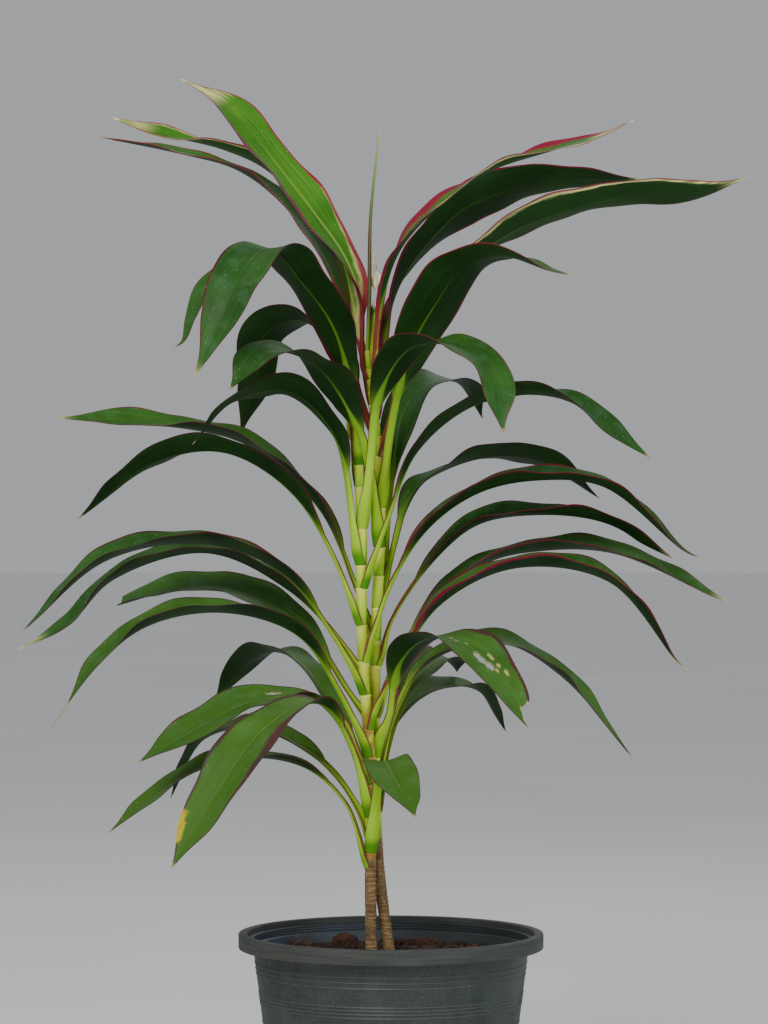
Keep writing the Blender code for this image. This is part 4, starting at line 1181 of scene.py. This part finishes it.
def build_leaf(leaf, look, slot):
    """A leaf from its sheath to its tip: a thin sheet with a grooved midrib, ruffled margins and a wall."""
    name, _, ring, width, petiole = leaf[:5]
    marked = name in EATEN or name in YELLOWED
    stations, across = (EATEN_STATIONS, EATEN_ACROSS) if marked else (STATIONS, ACROSS)
    rows, blade, metric = leaf_sections(leaf, stations, across)
    parts = name.split("_")
    made = lay_sheet("_".join([parts[1], "leaf", *parts[2:]]), rows)
    youth, tip, nearer, farther = LOOKS.get(name, PLAIN)
    facing = 1 if parts[1] == "right" else -1
    chance = random.Random(SEED + 3 * ring).random()
    crown = blend(0.0, 1.0, (ring - CROWN_LEAVES[0]) / CROWN_LEAVES[1])
    total = metric[-1][2] - petiole
    harm, lines, walls, gone = [], [], [], []
    for i, ((share, reach, _), (rib, edge, along)) in enumerate(zip(blade, metric)):
        half = rib + edge
        rim = outside(EATEN.get(name, ()), reach, share, half, total)
        if rim < 0:
            gone.append(i)
        scraped = outside(SCRAPED.get(name, ()), reach, share, half, total)
        eaten = max(blend(1.0, 0.0, rim / EATEN_RIM), blend(1.0, 0.0, scraped / SCRAPED_RIM + 0.5))
        yellow = 0.0
        if name in YELLOWED:
            at_reach, at_share, long, wide = YELLOWED[name]
            spread = math.hypot((reach - at_reach) * total / long, (share - at_share) * half / wide)
            yellow = blend(1.0, 0.0, spread / 1.6)
        harm.append((yellow, eaten, tip))
        wide, red, cream = nearer if share * facing > 0 else farther
        for side, at_reach, spread, swollen in LINE_SWELLS.get(name, ()):
            if share * facing * side > 0:
                wide = blend(swollen, wide, abs(reach - at_reach) / spread)
        narrowing = blend(0.35, 1.0, half / LINE_FULL_FROM) if reach > 0 else 1.0
        at_base = crown * blend(1.0, 0.0, reach / 0.35)
        narrowing *= 1 + CROWN_SWELL * at_base
        red = max(red, 0.95 * at_base)
        narrowing *= blend(1.0, LINE_AT_TIP, (reach - 0.5) / 0.3)
        unevenness = rough_at((along, ring, 40.0 * (share > 0)), LINE_CHANGES)
        narrowing *= 1 + 0.5 * unevenness
        red = min(max(red + 0.3 * unevenness, 0.0), 1.0)
        cream_from, cream_to = CREAM_SPANS.get(name, (-2.0, 2.0))
        cream *= blend(0.0, 1.0, (reach - cream_from) / 0.15) * blend(1.0, 0.0, (reach - cream_to) / 0.15)
        lines.append((wide * narrowing, red, cream * narrowing))
        thick = blend(SHEATH_THICK, BLADE_THICK, along / SHEATH_THINS)
        keel = 1 + RIB_KEEL * math.exp(-((rib / RIB_GROOVE_WIDTH) ** 2)) * blend(1.0, 0.0, reach)
        foot = blend(FOOT_WALL / SHEATH_THICK, 1.0, along / FOOT_THICKENS)
        walls.append(thick * foot * keel * blend(0.5, 1.0, edge / MARGIN_THINS))
    hold(made, "blade", blade)
    hold(made, "metric", metric)
    hold(made, "harm", harm)
    hold(made, "line", lines)
    lowness = blend(1.0, 0.0, (ring - LOW_LEAVES[0]) / LOW_LEAVES[1])
    hold(made, "age", [(youth, chance, lowness)] * len(blade))
    give_wall(made, walls, gone)
    finish_piece(made, look, slot, name)


def build_spear(name, cane, radius, through, look):
    """A new leaf rolled up on itself, its outer margin lapping over."""
    top, _ = cane_axis(cane, CANE_ROUTES[cane][-1][2])
    path = smooth_path([top + np.array((0, 0, GAP)), *through], 12)
    total = lengths_along(path)[-1]
    places = np.linspace(0, total, SPEAR_STATIONS)
    across = np.array((1.0, 0.0, 0.0))
    rows, blade, metric = [], [], []
    for along, point, way in zip(places, *read_path(path, places)):
        across = across - way * np.dot(across, way)
        across /= np.linalg.norm(across)
        other = np.cross(way, across)
        t = along / total
        girth = radius * np.interp(t, *zip(*SPEAR_OUTLINE))
        row = []
        for j in range(SPEAR_ACROSS):
            share = j / (SPEAR_ACROSS - 1)
            angle = 2 * math.pi * SPEAR_TURNS * share + 2.2 * t
            reach = girth * (0.62 + 0.36 * share)
            row.append(point + reach * (math.cos(angle) * across + math.sin(angle) * other))
            blade.append((share, t, 0.0))
            metric.append((0.0, (1 - share) * 2 * math.pi * SPEAR_TURNS * girth, along))
        rows.append(row)
    made = lay_sheet(name.replace("spear_", "") + "_spear", rows)
    hold(made, "blade", blade)
    hold(made, "metric", metric)
    give_wall(made, [SPEAR_WALL] * len(blade))
    finish_piece(made, look, "new_leaf", name)


# Pot


def wall_radius(z):
    """The outer radius of the tapered wall at a height."""
    return FOOT_RADIUS + (WALL_TOP_RADIUS - FOOT_RADIUS) * z / WALL_TOP


def rib_heights():
    """The heights of the fine moulded ribs, in groups down the wall."""
    heights = []
    start = RIB_TOP
    count = 0
    while start > 12:
        heights += [start - step for step in RIB_STEPS[count % 2] if start - step > 8]
        start -= RIB_GROUP
        count += 1
    return sorted(heights)


def pot_outline():
    """The pot's outline from its underside, out and up the ribbed wall, over the rim and down inside."""
    top = POT_HEIGHT
    skirt = top - RIM_DEPTH
    step_1 = WALL_TOP_RADIUS + STEP_OUT
    step_2 = step_1 + STEP_OUT
    ledge = WALL_TOP + STEP_RISE
    lip = RIM_RADIUS - RIM_LIP
    line = [
        (BOSS_RADIUS, 0.0),
        (BOSS_RADIUS + FOOT_SLOPE, FOOT_RECESS),
        (FOOT_RADIUS - FOOT_RING - FOOT_SLOPE, FOOT_RECESS),
        (FOOT_RADIUS - FOOT_RING, 0.0),
        (FOOT_RADIUS - CHAMFER, 0.0),
        (wall_radius(CHAMFER), CHAMFER),
    ]
    for z in rib_heights():
        line += [
            (wall_radius(z - RIB_HALF), z - RIB_HALF),
            (wall_radius(z) + RIB_PROUD, z - RIB_HALF / 3),
            (wall_radius(z) + RIB_PROUD, z + RIB_HALF / 3),
            (wall_radius(z + RIB_HALF), z + RIB_HALF),
        ]
    line += [
        (WALL_TOP_RADIUS - 0.3, WALL_TOP - 1.0),
        (WALL_TOP_RADIUS, WALL_TOP),
        (step_1 - 0.5, WALL_TOP + 0.7),
        (step_1, WALL_TOP + CHAMFER),
        (step_1 + STEP_DRAFT, ledge),
        (step_2 - 0.5, ledge + 0.7),
        (step_2, ledge + CHAMFER),
        (step_2 + STEP_DRAFT, top - RIM_SKIN),
        (RIM_RADIUS - RIM_SKIN, top - RIM_SKIN),
        (RIM_RADIUS - RIM_SKIN + STEP_DRAFT, skirt),
        (RIM_RADIUS - CHAMFER, skirt - 0.1),
        (RIM_RADIUS - 0.35, skirt + 0.3),
        (RIM_RADIUS, skirt + CHAMFER),
        (RIM_RADIUS, top - CHAMFER),
        (RIM_RADIUS - 0.35, top - 0.35),
        (RIM_RADIUS - CHAMFER, top),
        (lip + CHAMFER, top),
        (lip + 0.35, top - 0.35),
        (lip, top - CHAMFER),
        (lip - STEP_DRAFT, ledge + INNER_STEP),
        (step_1 - WALL, ledge + INNER_STEP - CHAMFER / 2),
        (step_1 - WALL - STEP_DRAFT, WALL_TOP + INNER_STEP + CHAMFER),
        (WALL_TOP_RADIUS - WALL, WALL_TOP + INNER_STEP),
        (wall_radius(FLOOR_TOP) - WALL, FLOOR_TOP),
        (BOSS_RADIUS, FLOOR_TOP),
    ]
    return line


def build_pot(look):
    """The moulded pot with its ribs, stacking steps, rolled rim and drain holes."""
    made = ring_walk("nursery_pot", [((0.0, 0.0, z), radius) for radius, z in pot_outline()], POT_SIDES)
    drains = []
    for hole in range(DRAIN_HOLES):
        bearing = 2 * math.pi * (hole + 0.5) / DRAIN_HOLES
        spot = Vector((DRAIN_CIRCLE * math.cos(bearing), DRAIN_CIRCLE * math.sin(bearing), FLOOR_TOP)) * MM
        bpy.ops.object.select_all(action="DESELECT")
        bpy.ops.mesh.primitive_cylinder_add(
            vertices=24, radius=DRAIN_RADIUS * MM, depth=4 * FLOOR_TOP * MM, location=spot
        )
        drains.append(bpy.context.object)
    cutter = join_all(drains, "drains")
    cut = made.modifiers.new("drain", "BOOLEAN")
    cut.object = cutter
    cut.operation = "DIFFERENCE"
    select_only(made)
    bpy.ops.object.modifier_apply(modifier=cut.name)
    bpy.data.objects.remove(cutter)
    wear = []
    for x, y, z in points_of(made):
        radius = math.hypot(x, y)
        ridge = 0 < z < WALL_TOP - 2 and radius > wall_radius(z) + RIB_PROUD / 2
        rim = z > POT_HEIGHT - RIM_DEPTH - 1 and radius > RIM_RADIUS - RIM_LIP - 0.5
        outer = wall_radius(z) if z < WALL_TOP + 1 else WALL_TOP_RADIUS + 2 * STEP_OUT
        inside = z > FLOOR_TOP - 0.5 and radius < outer - WALL / 2
        wear.append((ridge, rim, inside and not rim))
    hold(made, "wear", wear)
    finish_piece(made, look, "pot", "pot")


# Coir


def soil_radius(z):
    """The radius of the coir at a height, a small gap inside the wall."""
    low = wall_radius(FLOOR_TOP) - WALL
    high = WALL_TOP_RADIUS - WALL
    share = (z - FLOOR_TOP) / (WALL_TOP + INNER_STEP - FLOOR_TOP)
    return low + (high - low) * share - GAP


def soil_height(x, y):
    """The uneven top of the coir."""
    height = SOIL_LEVEL - SOIL_DIP
    for rise, size, seed in SOIL_BUMPS:
        height += rise * rough_at((x, y, 0), size, seed)
    return height


def build_soil(look):
    """The coir that fills the pot, with an uneven crumbly top."""
    floor = FLOOR_TOP + GAP
    level = SOIL_LEVEL - SOIL_DIP
    stations = [((0, 0, floor), soil_radius(floor)), ((0, 0, level), soil_radius(level))]
    for ring in range(1, SOIL_RINGS):
        stations.append(((0, 0, level), soil_radius(level) * (1 - ring / SOIL_RINGS)))
    made = ring_walk("coir", stations, SOIL_SIDES)
    points = points_of(made)
    for point in points:
        if point[2] > level - 1:
            reach = math.hypot(point[0], point[1]) / soil_radius(level)
            rise = soil_height(point[0], point[1]) - level
            point[2] = level + rise * blend(1.0, 0.2, (reach - 0.93) / 0.07)
    set_points(made, points)
    finish_piece(made, look, "soil", "soil")


def chip_place(rng):
    """A place for a chip of husk, clear of the canes and of the wall."""
    stems = [cane_axis(cane, SOIL_LEVEL)[0][:2] for cane in CANE_ROUTES]
    while True:
        reach = rng.uniform(CHIP_SIZE[0], soil_radius(SOIL_LEVEL) - CHIP_SIZE[1])
        bearing = rng.uniform(0, 2 * math.pi)
        middle = (reach * math.cos(bearing), reach * math.sin(bearing))
        if all(math.dist(middle, stem) > CANE_CLEARANCE for stem in stems):
            return middle


def chip(rng, middle, size, turn):
    """One chip of husk, half sunk in the coir, broken and fibrous."""
    bpy.ops.object.select_all(action="DESELECT")
    bpy.ops.mesh.primitive_ico_sphere_add(subdivisions=1, radius=1.0)
    made = bpy.context.object
    points = []
    for vertex in made.data.vertices:
        x, y, z = (vertex.co[i] * size[i] * rng.uniform(*CHIP_ROUGHNESS) for i in range(3))
        across = (x * math.cos(turn) - y * math.sin(turn), x * math.sin(turn) + y * math.cos(turn))
        points.append((across[0] + middle[0], across[1] + middle[1], z + SOIL_LEVEL - SOIL_DIP))
    set_points(made, points)
    bpy.ops.object.mode_set(mode="EDIT")
    bpy.ops.mesh.select_all(action="SELECT")
    bpy.ops.mesh.subdivide(number_cuts=2, smoothness=0.5)
    bpy.ops.mesh.subdivide(number_cuts=2, smoothness=0.1)
    bpy.ops.object.mode_set(mode="OBJECT")
    fine = points_of(made)
    centre = np.array((*middle, SOIL_LEVEL - SOIL_DIP))
    for i, point in enumerate(fine):
        drawn = (point[0] * 3, point[1], point[2])
        swell = 1 + 0.07 * rough_at(point, 2.6) + 0.05 * rough_at(drawn, 2.0, 3.0)
        fine[i] = centre + (point - centre) * swell
    set_points(made, fine)
    return made


def join_all(pieces, name):
    """Pieces joined into one, with their places applied to its mesh."""
    bpy.ops.object.select_all(action="DESELECT")
    for piece in pieces:
        piece.select_set(True)
    bpy.context.view_layer.objects.active = pieces[0]
    bpy.ops.object.join()
    made = bpy.context.object
    made.name = name
    bpy.ops.object.transform_apply(location=True, rotation=True, scale=True)
    return made


def build_chips(look):
    """The husk chips in the coir, the large ones behind the canes among them."""
    rng = random.Random(SEED)
    for _ in range(SOIL_DRAWS):
        rng.uniform(-SOIL_DIP / 2, SOIL_DIP)
    chips = [chip(rng, middle, size, 0.0) for middle, size in LARGE_CHIPS]
    for _ in range(CHIPS):
        size = (rng.uniform(*CHIP_SIZE) / 2, rng.uniform(*CHIP_SIZE) / 2, rng.uniform(*CHIP_HEIGHT))
        chips.append(chip(rng, chip_place(rng), size, rng.uniform(0, math.pi)))
    finish_piece(join_all(chips, "husk_chips"), look, "soil")


def any_turn(rng, lean):
    """Angles of a small piece that leans by chance and faces any way."""
    return rng.uniform(-lean, lean), rng.uniform(-lean, lean), rng.uniform(0, 2 * math.pi)


def strew(first, count, name, look, rng, sizes, lean):
    """Copies of one small piece strewn over the coir, each turned and sized by chance."""
    copies = []
    for _ in range(count):
        copied = first.copy()
        copied.data = first.data.copy()
        bpy.context.scene.collection.objects.link(copied)
        reach = math.sqrt(rng.uniform(0.002, 1.0)) * (soil_radius(SOIL_LEVEL) - 6)
        bearing = rng.uniform(0, 2 * math.pi)
        x, y = reach * math.cos(bearing), reach * math.sin(bearing)
        size = rng.uniform(*sizes)
        copied.location = Vector((x, y, soil_height(x, y) + 0.25 * size)) * MM
        copied.rotation_euler = any_turn(rng, lean)
        copied.scale = [size * rng.uniform(0.7, 1.3) for _ in range(3)]
        copies.append(copied)
    bpy.data.objects.remove(first)
    finish_piece(join_all(copies, name), look, "soil")


def build_crumbs(look):
    """Small crumbs of coir over the whole top."""
    rng = random.Random(SEED + 1)
    bpy.ops.object.select_all(action="DESELECT")
    bpy.ops.mesh.primitive_ico_sphere_add(subdivisions=1, radius=1.0)
    first = bpy.context.object
    set_points(first, [np.array(v.co) * rng.uniform(0.6, 1.3) for v in first.data.vertices])
    strew(first, CRUMBS, "coir_crumbs", look, rng, CRUMB_SIZE, CRUMB_LEAN)


def build_fibres(look):
    """Loose curved fibres of husk that stick out of the coir."""
    rng = random.Random(SEED + 2)
    stations = []
    for t in np.linspace(-5, 5, 9):
        stations.append(((2.2 * math.sin(t / 4), 1.6 * math.sin(t / 2.6), t), FIBRE_THICK))
    bpy.ops.object.select_all(action="DESELECT")
    first = ring_walk("fibre", stations, 4)
    strew(first, FIBRES, "coir_fibres", look, rng, FIBRE_SIZE, FIBRE_LEAN)


def build_tufts(fluff_look, splinter_look):
    """Tufts where the coir stands up: curled fluff, and broken splinters of husk."""
    rng = random.Random(SEED + 4)
    curl = []
    for t in np.linspace(0, FLUFF_TURN, 9):
        curl.append(((FLUFF_CURL * math.cos(t), FLUFF_CURL * math.sin(t), FLUFF_RISE * t), FLUFF_THICK))
    splinter = [((0.0, 0.0, z), radius) for z, radius in SPLINTER_OUTLINE]
    curls, splinters = [], []
    for middle, spread, height, curl_count, splinter_count in TUFTS:
        kinds = (
            (curls, curl, curl_count, FLUFF_LEAN),
            (splinters, splinter, splinter_count, SPLINTER_LEAN),
        )
        for kept, stations, count, lean in kinds:
            for _ in range(count):
                reach = math.sqrt(rng.random())
                bearing = rng.uniform(0, 2 * math.pi)
                x = middle[0] + spread * reach * math.cos(bearing)
                y = middle[1] + 0.6 * spread * reach * math.sin(bearing)
                rise = rng.random() * height * (1 - reach**2) if stations is curl else 0.0
                made = ring_walk("tuft", stations, 4)
                made.location = Vector((x, y, soil_height(x, y) + rise)) * MM
                made.rotation_euler = any_turn(rng, lean)
                made.scale = [rng.uniform(0.6, 1.3) for _ in range(3)]
                kept.append(made)
    finish_piece(join_all(curls, "coir_fluff"), fluff_look, "soil")
    finish_piece(join_all(splinters, "husk_splinters"), splinter_look, "soil")


# Studio


def build_studio(look):
    """A pale floor, soft light from above on both sides, and the camera in front."""
    bpy.ops.object.select_all(action="DESELECT")
    bpy.ops.mesh.primitive_circle_add(
        vertices=96, radius=FLOOR_RADIUS, fill_type="NGON", location=(0, 0, -FLOOR_DROP)
    )
    floor = bpy.context.object
    floor.name = "studio_floor"
    floor.data.materials.append(look)
    for name, spot, size, power, colour in LIGHTS:
        bpy.ops.object.light_add(type="AREA", location=spot)
        lamp = bpy.context.object
        lamp.name = name
        lamp.data.shape = "RECTANGLE"
        lamp.data.size, lamp.data.size_y = size
        lamp.data.energy = power
        lamp.data.color = colour
        lamp.rotation_euler = (Vector(LIT) - Vector(spot)).to_track_quat("-Z", "Y").to_euler()
    world = bpy.data.worlds.new("studio")
    world.use_nodes = True
    world.node_tree.nodes["Background"].inputs["Color"].default_value = WORLD_COLOUR
    world.node_tree.nodes["Background"].inputs["Strength"].default_value = WORLD_STRENGTH
    bpy.context.scene.world = world
    bpy.ops.object.camera_add(location=Vector(EYE) * MM, rotation=(math.pi / 2, 0, 0))
    camera = bpy.context.object
    camera.data.lens = LENS
    camera.data.sensor_width = SENSOR
    bpy.context.scene.camera = camera


streaks = make_streaks()
mottle = make_mottle()
specks = make_specks()
margin = make_margin()
side_veins = make_side_veins()
leaf_look = leaf_finish()
rolled_look = rolled_finish()
cane_look = cane_finish()
husk_look = coir_finish("husk", HUSK_BLACK, HUSK_PALE, HUSK_RED, 120.0)
coir_look = coir_finish("coir", COIR_BLACK, COIR_PALE, COIR_RED, 130.0)
fibre_look = coir_finish("fibre", FIBRE_BROWN, FIBRE_PALE, FIBRE_RED, 60.0)

build_pot(pot_finish())
build_soil(coir_look)
build_chips(husk_look)
build_crumbs(coir_look)
build_fibres(fibre_look)
build_tufts(fibre_look, husk_look)
for cane in CANE_ROUTES:
    build_cane(cane, cane_look)
for leaf in LEAVES:
    build_leaf(leaf, leaf_look, "new_leaf" if leaf[0] == "leaf_young" else "leaf")
for name, (cane, radius, through) in SPEARS.items():
    build_spear(name, cane, radius, through, rolled_look)
build_studio(floor_finish())
